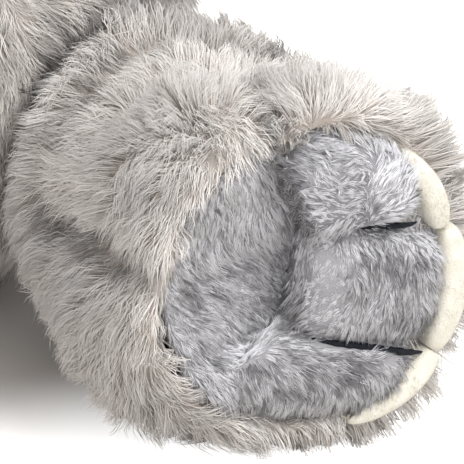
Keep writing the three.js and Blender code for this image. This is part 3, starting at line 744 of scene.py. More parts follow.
# Leg fur, with marks in degrees round the leg from its toes
legPiles = {
    "near": {**finePile, "count": 70000, "toneSpread": 0.75},
    "behind": {**coarsePile, "count": 8000},
    "hind": {**coarsePile, "count": 19000},
    "front": {**coarsePile, "count": 12000, "length": 11.5, "width": 0.42},
}
legSeeds = {"hind_left": 62, "hind_right": 63, "front_left": 64, "front_right": 65}
legMarks = {
    "overToes": (25, 45, 88, 102), "overHeel": (92, 105, 135, 150), "underHeel": (-178, -160, -125, -105),
    "besideToes": (-95, -75, 45, 60), "nails": (-95, -70, 40, 60), "toes": (-76, 51), "notch": (84, 116),
}
legWhorls = [(at(-33, 46, 72), 32, 1.1), (at(12, 54, 90), 24, 0.7)]
legComb = {"place": at(-52, 24, 60), "reach": 20.0, "way": at(-0.8, 0, -0.4)}
# the notch's tones are painted shade along the groove, from its start to its end
notch = {"start": at(-8, 45, 95), "end": at(-5, 50, 70), "tones": (0.5, 0.35), "widths": (10.0, 6.0)}
lobeEdge = 27.0


# Places at the scale of a hind leg, degrees round the leg, and height above the edge of the sole
def onFoot(points, limb, side):
    scale = hindLeg["foot"] / limb["foot"]
    local = toLimb(points, limb, side) * scale
    return local, np.degrees(np.arctan2(local[:, 1], local[:, 0])), local[:, 2] - limb["length"] * scale


def hanging(points, limb, side):  # 1 near the sole, 0 well behind it
    local, turn, above = onFoot(points, limb, side)
    over = window(turn, *legMarks["overHeel"])
    return ramp(above + 13 * over, -30, -3) * (1 - 0.9 * window(turn, *legMarks["overToes"]))


def legLay(limb, side, near):  # outwards, back along the leg and down; near the sole it hangs straight down
    rows = mirrored(limbFrame(limb), side)

    def lay(points):
        local, turn, above = onFoot(points, limb, side)
        flat = unit(local * at(1, 1, 0)) @ rows
        way = 0.7 * flat - 0.8 * rows[2] - 0.5 * up
        if near:
            way = way + bell(norm(local - legComb["place"]), legComb["reach"])[:, None] * legComb["way"]
            crease = (1 - ramp(torsoOut(points), 9, 20))[:, None]
            way = way * (1 - crease) + crease * (0.8 * rows[2] + 0.4 * flat)
        hang = hanging(points, limb, side)[:, None]
        out = 0.25 + 0.9 * ramp(local[:, 0], 10, 40) - 1.6 * window(turn, *legMarks["underHeel"])
        down = 1 - 0.5 * window(turn, *legMarks["besideToes"])
        return way * (1 - hang) + hang * (out[:, None] * flat - down[:, None] * up + 0.15 * rows[2])
    return lay


def grows(points, limb, side):  # 1 outside the sole, the nails and the torso
    local, turn, above = onFoot(points, limb, side)
    toes, parted = ((turn > low) & (turn < high) for low, high in (legMarks["toes"], legMarks["notch"]))
    edge = np.where(toes, 60, np.where(parted, 41, 46.4))
    inner = (above > np.where(toes, -4.5, -10)) & (norm(local[:, :2]) < edge)
    return (~inner & (insideEgg(points, torso, -12) > 1)).astype(float)


def roundNails(points, limb, side):  # 1 where the fur stands out as a fringe round the nails
    local, turn, above = onFoot(points, limb, side)
    return ramp(local[:, 2], 62, 84) * window(turn, *legMarks["nails"])


def standing(points, limb, side):  # fur stands up round the nails
    return 1 + 0.7 * roundNails(points, limb, side)


def rimLength(points, limb, side):  # short inside the rim, but long round the nails and over the lower heel
    local, turn, above = onFoot(points, limb, side)
    inside = ramp(-norm(local[:, :2]), -51.5, -48.5) * ramp(above, -12, -4)
    inside = inside * (1 - window(turn, *legMarks["underHeel"]))
    return (1 - 0.5 * inside) * (1 + 0.6 * roundNails(points, limb, side))


def parting(points):  # 1 on top of the left hind foot, where the lay turns over
    hang = hanging(points, hindLeg, 1)
    return 4 * hang * (1 - hang) * ramp(toLimb(points, hindLeg, 1)[:, 1], 25, 45)


def whorlNear(points):  # 1 at the whorls of the left hind leg
    local = toLimb(points, hindLeg, 1)
    return sum(bell(norm(local - place), 11) for place, reach, strength in legWhorls)


def shelf(points):  # a lock line across the heel side: above it fur hangs long and is painted a little paler, below it lies flatter and is painted in shade
    x, y, z = toLimb(points, hindLeg, 1).T
    there = ramp(z, 10, 30) * ramp(-x, 24, 38)
    return there * window(y, 13, 18, 24, 34), there * window(y, 2, 8, 13, 17)


def evenSide(points):  # 1 on the side of the front lobe, where the pile lies even
    x, y, z = toLimb(points, hindLeg, 1).T
    return ramp(-x, 26, 40) * ramp(-z, -66, -50) * ramp(y, 6, 18) * ramp(z - lobeEdge, -4, 4)


def nearRise(points):  # fur stands up at the whorls and the parting, and lies flat on the even side
    over, under = shelf(points)
    rise = standing(points, hindLeg, 1) * (1 - 0.25 * evenSide(points)) * (1 + 0.7 * parting(points))
    return rise * (1 + 0.5 * whorlNear(points) + 0.25 * over - 0.35 * under)


def nearLength(points):  # longer over the lock line, short in the crease
    return (1 + 0.2 * shelf(points)[0]) * creaseLength(torsoOut(points)) * rimLength(points, hindLeg, 1)


def nearPaintedLightAndShade(points):  # painted light and shade: dark in the crease, the notch and under the lock line, a little paler over it, a touch darker on the foot top, pale along the front lobe's crest and dark just behind its edge
    local = toLimb(points, hindLeg, 1)
    x, y, z = local.T
    over, under = shelf(points)
    share, apart = besideLine(local, notch["start"], notch["end"])
    grooveShade = np.interp(share, (0, 1), notch["tones"]) * bell(apart, np.interp(share, (0, 1), notch["widths"]))
    footTopShade = ramp(y, 28, 44) * ramp(x, -12, 2) * ramp(z, 50, 66)
    past = z - lobeEdge
    # painted highlight on the lobe's crest and painted shadow just behind its edge
    lobe = ramp(y, 5, 20) * (0.2 * window(past, 0, 8, 20, 40) - 0.34 * window(past, -17, -9, -3, 2))
    return 0.1 * over - 0.36 * under + creasePaintedShade(torsoOut(points)) - 0.03 * footTopShade - grooveShade + lobe


def toeSide(points):  # 1 towards the end of the left hind leg
    return ramp(toLimb(points, hindLeg, 1)[:, 2], 55, 70)


def seenShare(middle, normal):  # denser where the strands part, none on the far side of the leg
    dense = 1 + 1.2 * parting(middle) + 1.5 * whorlNear(middle) + 2.2 * roundNails(middle, hindLeg, 1)
    shown = np.maximum(ramp(normal @ toCamera, -0.3, -0.1), toeSide(middle))
    return grows(middle, hindLeg, 1) * dense * shown


def unseenShare(middle, normal):  # 1 on the far side of the leg
    return grows(middle, hindLeg, 1) * (normal @ toCamera < -0.12) * (toeSide(middle) < 0.5)


nearPile = {
    **legPiles["near"], "pullAt": lambda points: 1 - 0.65 * evenSide(points),
    "riseAt": nearRise, "lengthAt": nearLength, "toneAt": nearPaintedLightAndShade,
}
for limb, side, name in legs:
    near = name == "hind_left"
    form, body, seed = legForms[name], f"{name}_leg", legSeeds[name]
    span = [toWorld(at(0, 0, share * limb["root"]), limb, side) for share in (-0.5, 0.5)]
    bend = {"from": "torso", "span": span}
    nodes = [f"{name}_leg_skin", f"{name}_leg_stuffing"]
    addForm(f"{name}_leg_cloth", form, body, "long_pile", nodes, bend)
    whorls = [(toWorld(place, limb, 1), *rest) for place, *rest in legWhorls] if near else ()
    flow = combed(legLay(limb, side, near), whorls, 0.3, 51)
    if near:
        addFur(f"{name}_leg_fur", form, flow, nearPile, body, "long_pile", seed, seenShare, bend)
        pile = legPiles["behind"]
        addFur(f"{name}_leg_fur_behind", form, flow, pile, body, "long_pile", seed + 20, unseenShare, bend)
    else:
        pile = {
            **legPiles[limb["name"]], "riseAt": lambda points: standing(points, limb, side),
            "lengthAt": lambda points: rimLength(points, limb, side),
        }
        addFur(f"{name}_leg_fur", form, flow, pile, body, "long_pile", seed,
               lambda middle, normal: grows(middle, limb, side), bend)
print("legs done")


# Feet: a hollow heel, three plump toes, cream nails round the edge and dark thread between the toes
sole = {
    "edge": 47.5, "base": -14.0, "corners": 120, "creaseSteps": 400, "arcSteps": 300, "inmost": 0.04,
    "crease": [(-27, -47.5), (-27, -25), (-19, -20), (-4.5, -14), (1.7, 15), (-8.6, 43), (-10, 47.5)],
}
heelPad = {
    "centre": at(-24, 4), "steps": 30, "floor": -4.0, "rim": 6.0, "reach": 30.0, "rimFrom": (0.2, 1.3),
    "dip": 9.0, "dipWidth": 11.0, "dipFrom": (-26, -12), "lift": 2.6, "liftWidth": 9.0, "liftTo": (-22, -13),
}
toePad = {  # for each lobe: middle, angle in degrees, half length, half width, height
    "centre": at(18, -6), "steps": 44, "plate": -1.6, "power": 3.4,
    "lobes": [
        (at(14.5, 29.5), 4.0, 23.0, 15.5, 13.0), (at(20.5, -4.8), -10.5, 26.5, 18.4, 12.5),
        (at(4, -31.5), -7.0, 33.0, 13.0, 11.5),
    ],
}
nails = {  # for both ends of each: degrees round the sole, reach from its middle, half width
    "upper": {"turn": (12.3, 49.5), "reach": (47.4, 48.6), "half": (5.2, 4.0)},
    "middle": {"turn": (-35.4, 11.9), "reach": (53.0, 50.0), "half": (5.4, 5.6)},
    "lower": {"turn": (-75.0, -34.2), "reach": (50.8, 54.0), "half": (3.4, 6.0)},
}
nailForm = {
    "half": 6.8, "middle": 0.2, "ends": (0.02, 0.98), "steps": 34, "sides": 28,
    "taper": 0.28, "flatTaper": 0.7, "boxy": 0.65,
}
threads = {
    "upper": {"start": at(12.5, 16.4), "end": at(38, 13.4), "height": 5.4, "radius": 1.05},
    "lower": {"start": at(0, -18.8), "end": at(40, -30.2), "height": 6.5, "radius": 1.45},
}
threadForm = {"steps": 60, "sides": 18, "sink": 3.0, "thin": 0.12, "swell": 0.6, "ply": 0.08, "twist": 9}


def creaseAt(y):  # the line between heel and toes, given by its places from the bottom up
    across, height = np.array(sole["crease"]).T
    return np.interp(y, height, across)


def evenOutline(points, count):  # the same closed outline with evenly spaced points
    closed = np.concatenate([points, points[:1]])
    reach = np.concatenate([[0], np.cumsum(norm(np.diff(closed, axis=0)))])
    steps = np.linspace(0, reach[-1], count, endpoint=False)
    return np.stack([np.interp(steps, reach, closed[:, q]) for q in range(2)], axis=1)


def soleOutline(wayRound):  # the arc of the sole past the toes or round the heel, closed along the crease
    edge = sole["edge"]
    ys = np.linspace(-edge, edge, sole["creaseSteps"])
    on = creaseAt(ys) ** 2 + ys**2 < edge**2
    crease = np.stack([creaseAt(ys[on]), ys[on]], axis=1)
    low, high = (math.atan2(crease[k, 1], crease[k, 0]) for k in (0, -1))
    turn = np.linspace(high, low + 2 * math.pi * wayRound, sole["arcSteps"])
    arc = edge * np.stack([np.cos(turn), np.sin(turn)], axis=1)
    return evenOutline(np.concatenate([crease, arc[1:-1]]), sole["corners"])


def domed(outline, pad, topAt):  # shares of the outline about the pad's centre, domed above and flat below
    shares = np.linspace(sole["inmost"], 1, pad["steps"])[:, None, None]
    flat = pad["centre"] + shares * (outline - pad["centre"])
    top = np.concatenate([flat, topAt(flat)[..., None]], axis=-1)
    base = np.full((2, len(outline), 1), sole["base"])
    low = np.concatenate([flat[[-1, pad["steps"] // 2]], base], axis=-1)
    return np.concatenate([top, low])


def heelTop(flat):  # a dish that rises to its rim, dips beside the crease and lifts at its lower end
    y = flat[..., 1]
    beside = creaseAt(y) - flat[..., 0]
    rim = heelPad["rim"] * ramp(norm(flat - heelPad["centre"]) / heelPad["reach"], *heelPad["rimFrom"])
    dip = heelPad["dip"] * ramp(y, *heelPad["dipFrom"]) * bell(beside, heelPad["dipWidth"])
    lift = heelPad["lift"] * (1 - ramp(y, *heelPad["liftTo"])) * bell(beside, heelPad["liftWidth"])
    return heelPad["floor"] + rim - dip + lift


def toeTop(flat):  # the plate, and on it the highest of three superellipse lobes
    top = np.full(flat.shape[:-1], toePad["plate"])
    for centre, angle, half, width, height in toePad["lobes"]:
        turn = math.radians(angle)
        x, y = np.moveaxis(flat - centre, -1, 0)
        along = (x * math.cos(turn) + y * math.sin(turn)) / half
        across = (y * math.cos(turn) - x * math.sin(turn)) / width
        share = np.abs(along) ** toePad["power"] + np.abs(across) ** toePad["power"]
        top = np.maximum(top, toePad["plate"] + height * np.sqrt(np.clip(1 - share, 0, 1)))
    return top


def nailRings(nail):  # a rounded bar swept along an arc of the sole's edge, tapering at both ends
    share = np.linspace(*nailForm["ends"], nailForm["steps"])[:, None]
    ends = (np.radians(nail["turn"]), nail["reach"], nail["half"])
    turn, middle, half = (first + (last - first) * share for first, last in ends)
    taper = np.sin(np.pi * share) ** nailForm["taper"]
    boxy = lambda wave: np.sign(wave) * np.abs(wave) ** nailForm["boxy"]
    around = circle(nailForm["sides"])
    reach = middle + half * taper * boxy(np.cos(around))
    height = nailForm["middle"] + nailForm["half"] * taper ** nailForm["flatTaper"] * boxy(np.sin(around))
    return np.stack([reach * np.cos(turn), reach * np.sin(turn), height], axis=-1)


def threadRings(thread):  # a twisted two-ply thread, thick in its middle, sunk at both ends
    share = np.linspace(0, 1, threadForm["steps"])[:, None]
    around = circle(threadForm["sides"])
    run = thread["end"] - thread["start"]
    way = unit(run)
    thin, ply = threadForm["thin"], threadForm["ply"]
    thick = thread["radius"] * (thin + (1 - thin) * np.sin(np.pi * share) ** threadForm["swell"])
    thick = thick * (1 + ply * np.cos(2 * (around - threadForm["twist"] * np.pi * share)))
    out = (thick * np.cos(around))[..., None] * at(-way[1], way[0])
    flat = (thread["start"] + share * run)[:, None] + out
    height = thread["height"] - threadForm["sink"] * (2 * share - 1) ** 4 + thick * np.sin(around)
    return np.concatenate([flat, height[..., None]], axis=-1)


solePiles = {
    "near": {
        **finePile, "count": 42000, "levels": 1, "length": 4.8, "spread": 0.25, "rise": 0.42, "sink": 0.3,
        "sag": 0.0, "perLock": 7, "perTuft": 90, "tuftTurn": 0.16, "strandTurn": 0.18, "pull": 0.6,
        "tuftPull": 0.1, "tight": 0.9, "width": 0.15, "perPiece": 46000, "toneSpread": 2.0, "skin": 0.2,
    },
    "far": {
        **coarsePile, "count": 5000, "length": 4.4, "spread": 0.2, "rise": 0.42, "sink": 0.3, "sag": 0.0,
        "perLock": 4, "perTuft": 20, "width": 0.32, "skin": 0.0,
    },
}
frontSole = {"count": 3000, "length": 3.6}
fuzz = {"rise": 0.45, "strandTurn": 0.9, "toneSpread": 0.25}
nailFuzz = {
    "near": {**solePiles["near"], **fuzz, "count": 7500, "length": 1.4, "pull": 0.1, "width": 0.09},
    "far": {**solePiles["far"], **fuzz, "count": 900, "length": 1.8, "width": 0.2},
}
soleComb = {  # for each part: degrees from the toe way, and a turn that comes in between two places
    "heel": (318, -50, 6, 24), "upper": (178, -105, 14, 21),
    "middle": (200, 62, 6, 13), "lower": (322, -48, 27, 40),
}
soleMarks = {
    "upperFrom": 14.5, "bandAcross": (-3, 0, 7, 13), "bandUp": (-20, -15, 11, 15),
    "besideThread": 0.3, "overThread": 1.5, "nailShare": 0.47, "underNail": 1.5, "facing": -0.3,
}


def onSole(points, limb, side):  # x and y across the sole at the scale of a hind foot
    local = toLimb(points, limb, side) / (limb["foot"] / hindLeg["foot"])
    return local[:, 0], local[:, 1]


def underMiddle(x, y):  # how far below the line between the middle toe and the lower one
    return -18.5 - 0.28 * (x - 2) - y


def combAngle(part, place):  # degrees plus the turn times a ramp of the place
    angle, change, low, high = soleComb[part]
    return angle + change * ramp(place, low, high)


def soleLay(limb, side):  # left on the upper toe, down on the middle one, out on the lower one and the heel
    rows = mirrored(limbFrame(limb), side)

    def lay(points):
        x, y = onSole(points, limb, side)
        below = np.where(underMiddle(x, y) > 0, combAngle("lower", -y), combAngle("middle", x))
        toes = np.where(y > soleMarks["upperFrom"], combAngle("upper", x), below)
        angle = np.radians(np.where(x < creaseAt(y), combAngle("heel", y), toes))[:, None]
        return np.cos(angle) * rows[0] + np.sin(angle) * rows[1]
    return lay


def band(points, limb, side):  # 1 on the smooth near end of the middle toe
    x, y = onSole(points, limb, side)
    return window(x, *soleMarks["bandAcross"]) * window(y, *soleMarks["bandUp"])


def fringe(points, limb, side):  # 1 on the middle toe along its lower thread
    x, y = onSole(points, limb, side)
    above = y + 19 + 0.29 * (x - 1)
    return ramp(-above, -4.5, -1.5) * (above > 0) * ramp(x, 0, 6)


def soleLength(points, limb, side):  # shorter on the band and along the thread
    return (1 - 0.35 * band(points, limb, side)) * (1 - 0.5 * fringe(points, limb, side))


def solePaintedLightAndShade(points, limb, side):  # painted light and shade: paler on the upper toe and a highlight on the band, darker elsewhere on the toes, and painted shade in the heel's crease
    x, y = onSole(points, limb, side)
    past = x - creaseAt(y)
    toes = ramp(past, 0, 3)
    upper, lower = ramp(y, 13, 16), ramp(underMiddle(x, y), -1, 2)
    crease = bell(past, 3.5) * ramp(y, -16, -8)
    tone = toes * (0.16 * upper - 0.28 * lower - 0.12 * (1 - upper) * (1 - lower))
    # the band as painted highlight, the crease as painted shade on the heel side
    return 0.8 * band(points, limb, side) + tone - 0.4 * crease * (1 - toes)


def soleShare(limb, side):  # 1 on the outer face of the sole, but not on the threads or under the nails
    axis = mirrored(limbFrame(limb), side)[2]

    def share(middle, normal):
        local = (toLimb(middle, limb, side) - at(0, 0, limb["length"])) / (limb["foot"] / hindLeg["foot"])
        flat, height = local[:, :2], local[:, 2]
        clear = normal @ axis > soleMarks["facing"]
        for thread in threads.values():
            along, apart = besideLine(flat, thread["start"], thread["end"])
            beside = apart > thread["radius"] + soleMarks["besideThread"]
            clear &= beside | (np.abs(height - thread["height"]) > soleMarks["overThread"])
        turn = np.degrees(np.arctan2(flat[:, 1], flat[:, 0]))
        for nail in nails.values():
            start, end = nail["turn"]
            along = (turn - start) / (end - start)
            inner = np.interp(along, (0, 1), np.subtract(nail["reach"], nail["half"]))
            past = np.abs(along - 0.5) > soleMarks["nailShare"]
            clear &= past | (norm(flat) < inner + soleMarks["underNail"])
        return clear
    return share


heelOutline, toeOutline = soleOutline(1), soleOutline(0)
for limb, side, name in legs:
    kind = "near" if name == "hind_left" else "far"
    body, scale = f"{name}_leg", limb["foot"] / hindLeg["foot"]
    placed = lambda rings: closedForm(toWorld(rings * scale + at(0, 0, limb["length"]), limb, side))
    heelForm = placed(domed(heelOutline, heelPad, heelTop))
    toeForm = placed(domed(toeOutline, toePad, toeTop))
    addForm(f"{name}_heel", heelForm, body, "short_pile", [f"{name}_heel_pad"])
    addForm(f"{name}_toes", toeForm, body, "short_pile", [f"{name}_toe_pad"])
    nailForms = {label: placed(nailRings(nail)) for label, nail in nails.items()}
    for label, form in nailForms.items():
        addForm(f"{name}_nail_felt_{label}", form, body, "cream_felt", [f"{name}_nail_{label}"])
    allNails = oneForm(list(nailForms.values()))
    flow = combed((0.3, 0.2, -0.8), (), 1.2, 75)
    addFur(f"{name}_nail_fuzz", allNails, flow, nailFuzz[kind], body, "cream_felt", 76)
    for label, thread in threads.items():
        form, nodes = placed(threadRings(thread)), [f"{name}_toe_thread_{label}"]
        addForm(f"{name}_thread_{label}", form, body, "dark_thread", nodes)
    pile = {
        **solePiles[kind], **(frontSole if limb is frontLeg else {}),
        "riseAt": lambda points: 1 - 0.5 * band(points, limb, side),
        "lengthAt": lambda points: soleLength(points, limb, side),
        "toneAt": lambda points: solePaintedLightAndShade(points, limb, side),
    }
    flow = combed(soleLay(limb, side), (), 0.3, 71)
    form, share = oneForm([heelForm, toeForm]), soleShare(limb, side)
    addFur(f"{name}_sole_pile", form, flow, pile, body, "short_pile", 81 + side, share)
print("feet done")


# Head: a round egg, fuller round the trunk, dished where the trunk is sewn on
trunk = {
    "pivot": at(0, -133.703, 318.147), "lean": 33.4, "tipLean": 20.4, "soft": 26.0,
    "base": 104.0, "tip": 62.0, "root": 28.5, "knee": 20.5, "end": 14.0, "before": 30,
    "start": -26.0, "split": 58.0, "overlap": 2.0, "fold": 0.7, "foldApart": 13.0, "foldFrom": (10, 40),
    "close": 0.35, "closeFrom": 6.0, "rings": 90, "sides": 56,
}
eyes = {
    "place": at(43.062, -111.377, 372.012), "way": at(0.38017, -0.88183, 0.27900),
    "radius": 8.73, "height": 7.0, "clear": 10.5, "out": 1.5, "sides": 40, "whorl": (18, 2.2),
    "stem": [(2.4, -6), (2.4, -1), (8.4, -0.6), (9.0, 0.4), (8.9, 1.0)],
    "dome": np.linspace(0.12, math.pi / 2 - 0.06, 14),
}
rings = eggRings(head)
swell = head["muzzleHeight"] * bell(norm(rings - head["muzzle"]), head["muzzleReach"])
swell = swell + head["wave"] * waves(rings, head["waveSize"], 91)
rings = rings + swell[..., None] * unit(rings - head["centre"])
fromTrunk = rings - trunk["pivot"]
gap = norm(fromTrunk)[..., None]
dish = trunk["root"] + 1
rings = np.where(gap < dish, trunk["pivot"] + fromTrunk * dish / gap, rings)
headForm = closedForm(rings)
addForm("head_cloth", headForm, "head", "long_pile", ["head_skin", "head_stuffing"])
bothEyes = [mirrored(eyes["place"], side) for side, word in bothSides]


def fromEyes(points):  # distance to the nearer eye
    return np.minimum(*(norm(points - eye) for eye in bothEyes))


def headShare(middle, normal):  # none inside the torso, the trunk and the eyes, denser round the eyes
    free = (insideEgg(middle, torso, -10) > 1) & (norm(middle - trunk["pivot"]) > trunk["root"] + 2)
    free &= fromEyes(middle) > eyes["clear"]
    return free * (1 + 2.5 * (1 - ramp(fromEyes(middle), 12, 32)))


headLay = lambda points: 0.9 * unit(points - at(0, -150, 330)) + at(0, 0.35, -0.35)
headFlow = combed(headLay, [(eye, *eyes["whorl"]) for eye in bothEyes], 0.25, 93)
headPile = {
    **coarsePile, "count": 27500, "length": 12.0, "width": 0.42,
    "lengthAt": lambda points: 0.35 + 0.65 * ramp(fromEyes(points), 11, 34),
}
addFur("head_fur", headForm, headFlow, headPile, "head", "long_pile", 95, headShare)
dome = [(eyes["radius"] * math.cos(a), 1 + eyes["height"] * math.sin(a)) for a in eyes["dome"]]
local = spun(eyes["stem"] + dome, eyes["sides"]) + at(0, 0, eyes["out"])
eyeRings = eyes["place"] + local @ frameOf(eyes["way"])
for side, word in bothSides:
    form = closedForm(mirrored(eyeRings, side))
    addForm(f"eye_dome_{word}", form, "head", "eye_plastic", [f"eye_{word}"])
    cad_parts[f"eye_washer_{word}"].material_slots[0].material = washerPlastic
print("head done")


# Trunk: a tapering tube along a path that bends softly at its middle, with shallow folds across it
whole = trunk["base"] + trunk["tip"]


def trunkPath(along):  # places and ways along the trunk, straight but for a soft knee
    steps = np.arange(-trunk["before"], whole + trunk["before"] + 1, 1.0)
    knee = ramp(steps, trunk["base"] - trunk["soft"], trunk["base"] + trunk["soft"])
    lean = np.radians(trunk["lean"] + (trunk["tipLean"] - trunk["lean"]) * knee)
    ways = np.stack([0 * lean, -np.sin(lean), -np.cos(lean)], axis=1)
    places = np.cumsum(ways, axis=0)
    places += trunk["pivot"] - places[trunk["before"]]
    pick = lambda data: np.stack([np.interp(along, steps, data[:, q]) for q in range(3)], axis=1)
    return pick(places), unit(pick(ways))


def trunkRings(start, end):  # radius from root to knee to end, a round root, a sine of folds, a closing tip
    along = np.linspace(start, end, trunk["rings"])
    radius = np.interp(along, [0, trunk["base"], whole], [trunk["root"], trunk["knee"], trunk["end"]])
    radius = np.where(along < 0, np.sqrt(np.maximum(trunk["root"] ** 2 - along**2, 1)), radius)
    folds = np.sin(2 * np.pi * along / trunk["foldApart"]) * ramp(along, *trunk["foldFrom"])
    radius = radius + trunk["fold"] * folds
    radius = radius * np.sqrt(1 - trunk["close"] * ramp(along, whole - trunk["closeFrom"], whole))
    return tube(*trunkPath(along), radius, trunk["sides"])


trunkParts = {
    "upper": {"from": "head", "bend": (-8, 26), "ends": (trunk["start"], trunk["split"] + trunk["overlap"])},
    "tip": {"from": "trunk_upper", "bend": (82, 124), "ends": (trunk["split"], whole - 1)},
}
trunkPile = {**coarsePile, "length": 9.0, "rise": 0.4, "width": 0.36, "sag": 0.03, "count": 5500}
endPlace, endWay = (data[0] for data in trunkPath(at(whole - 1)))


def trunkLay(points):  # down and forward, more so above the knee
    forward = np.interp(points[:, 2], [150, 231, 320], [0, 1, 1])[:, None]
    return forward * at(0, -0.2, 0) + at(0, -0.35, -0.94)


def trunkShare(middle, normal):  # none inside the head or on the end
    return ((insideEgg(middle, head, -8) > 1) & (normal @ endWay < 0.9)).astype(float)


for part, marks in trunkParts.items():
    form, body = closedForm(trunkRings(*marks["ends"])), f"trunk_{part}"
    bend = {"from": marks["from"], "span": trunkPath(at(*marks["bend"]))[0]}
    nodes = [f"trunk_{part}_skin", f"trunk_{part}_stuffing"]
    addForm(f"trunk_{part}_cloth", form, body, "long_pile", nodes, bend)
    flow = combed(trunkLay, (), 0.2, 97)
    addFur(f"trunk_{part}_fur", form, flow, trunkPile, body, "long_pile", 98, trunkShare, bend)
nosePad = {
    "radius": 11.2, "sides": 40,
    "profile": [(0.15, 2.6), (0.4, 2.5), (0.7, 2.1), (0.9, 1.2), (1.0, 0.0), (0.97, -2.4), (0.5, -3.0)],
}
padRings = spun(np.array(nosePad["profile"]) * at(nosePad["radius"], 1), nosePad["sides"])
padForm = closedForm(endPlace + padRings @ frameOf(endWay))
addForm("trunk_nose", padForm, "trunk_tip", "short_pile", ["trunk_nose_pad"])
nosePile = {**solePiles["far"], "count": 1100, "length": 3.4, "width": 0.26}
noseFlow = combed((0.2, -0.8, 0.5), (), 0.4, 99)
addFur("trunk_nose_pile", padForm, noseFlow, nosePile, "trunk_tip", "short_pile", 99,
       lambda middle, normal: (normal @ endWay > -0.1).astype(float))
print("trunk done")


# Ears: a soft cupped leaf, a furry back and a short-pile lining that meet along its edge
ears = {
    "place": at(102, -16, 360), "sweep": 20.0, "centre": at(58, -4), "start": -42.0, "bend": 34.0,
    "back": 8.0, "lining": 4.0, "inset": 4.0, "cup": 9.0, "cupFrom": (45, 135), "lift": 0.25,
    "ruffle": 2.5, "ruffleFrom": (5, 50), "waves": 3, "shift": 0.6,
    "corners": 110, "curveSteps": 400, "steps": 30, "edging": 1.5,
    "edge": [(-42, -44), (35.6, -92), (95, -79.1), (132, -9.2), (112.2, 67.8), (55.4, 88), (-42, 48)],
}
earPiles = {
    "back": {**coarsePile, "count": 8500, "length": 11.5, "width": 0.4},
    "lining": {**solePiles["far"], "count": 7500, "length": 5.5, "width": 0.34},
}


def earOutline():  # a smooth spline through the edge's knots, cut straight where it is sewn to the head
    knots = np.array(ears["edge"])
    last = len(knots) - 1
    fine = np.linspace(0, last, ears["curveSteps"])
    k = np.minimum(fine.astype(int), last - 1)
    u = (fine - k)[:, None]
    before, p, q, after = (knots[np.clip(k + step, 0, last)] for step in (-1, 0, 1, 2))
    square, cube = 2 * before - 5 * p + 4 * q - after, 3 * p - before - 3 * q + after
    curve = 0.5 * (2 * p + (q - before) * u + square * u**2 + cube * u**3)
    curve[:, 0] = np.maximum(curve[:, 0], ears["start"])
    return evenOutline(curve, ears["corners"])


def earRings(outline, thick, way):  # leaf shares of the outline, swelling one way from a cupped surface
    steps = ears["steps"]
    shares = np.concatenate([np.linspace(0.04, 1, steps), [0.97, 0.6, 0.2]])[:, None]
    fromCentre = shares[..., None] * (outline - ears["centre"])
    x, y = np.moveaxis(ears["centre"] + fromCentre, -1, 0)
    angle = np.arctan2(fromCentre[..., 1], fromCentre[..., 0])
    depth = np.concatenate([thick * np.sqrt(1 - np.linspace(0.04, 0.995, steps) ** 4), [0, 0, 0]])[:, None]
    ruffle = ears["ruffle"] * np.sin(ears["waves"] * angle + ears["shift"]) * shares**2
    cup = ruffle * ramp(x, *ears["ruffleFrom"]) - ears["cup"] * ramp(x, *ears["cupFrom"])
    return np.stack([x, cup + way * (depth + ears["lift"]), y], axis=-1)


outline = earOutline()
fromCentre = outline - ears["centre"]
inner = ears["centre"] + fromCentre * (1 - ears["inset"] / norm(fromCentre)[:, None])
inner[:, 0] = np.maximum(inner[:, 0], ears["start"])
fromCentre = inner - ears["centre"]
innerTurn, innerReach = np.arctan2(fromCentre[:, 1], fromCentre[:, 0]), norm(fromCentre)
order = np.argsort(innerTurn)
sweep = math.radians(ears["sweep"])
earRows = np.stack([at(math.cos(sweep), math.sin(sweep), 0), at(-math.sin(sweep), math.cos(sweep), 0), up])


def outHead(points):  # true outside the head
    return insideEgg(points, head, -8) > 1


def edging(points, side):  # true outside the outline of the lining
    away = mirrored(points, side) - ears["place"]
    x, y = away @ earRows[0] - ears["centre"][0], away[:, 2] - ears["centre"][1]
    reach = np.interp(np.arctan2(y, x), innerTurn[order], innerReach[order], period=2 * np.pi)
    return np.hypot(x, y) > reach - ears["edging"]


for side, word in bothSides:
    placed = lambda local: mirrored(ears["place"] + local @ earRows, side)
    rows, body = mirrored(earRows, side), f"ear_{word}"
    bend = {"from": "head", "span": (placed(at(0, 0, 0)), placed(at(ears["bend"], 0, 0)))}
    backForm = closedForm(placed(earRings(outline, ears["back"], 1)))
    liningForm = closedForm(placed(earRings(inner, ears["lining"], -1)))
    addForm(f"ear_back_cloth_{word}", backForm, body, "long_pile", [f"ear_back_{word}"], bend)
    addForm(f"ear_lining_cloth_{word}", liningForm, body, "short_pile", [f"ear_lining_{word}"], bend)
    earLay = 0.8 * rows[0] - 0.6 * up
    behind = lambda middle, normal: np.where(normal @ rows[1] > -0.2, 1.0, 1.6 * edging(middle, side))
    backShare = lambda middle, normal: outHead(middle) * behind(middle, normal)
    liningShare = lambda middle, normal: outHead(middle) * (normal @ rows[1] < 0.1)
    flow, pile = combed(earLay, (), 0.3, 101), earPiles["back"]
    addFur(f"ear_back_fur_{word}", backForm, flow, pile, body, "long_pile", 102 + side, backShare, bend)
    flow, pile = combed(earLay, (), 0.4, 104), earPiles["lining"]
    seed = 105 + side
    addFur(f"ear_lining_pile_{word}", liningForm, flow, pile, body, "short_pile", seed, liningShare, bend)
print("ears done")


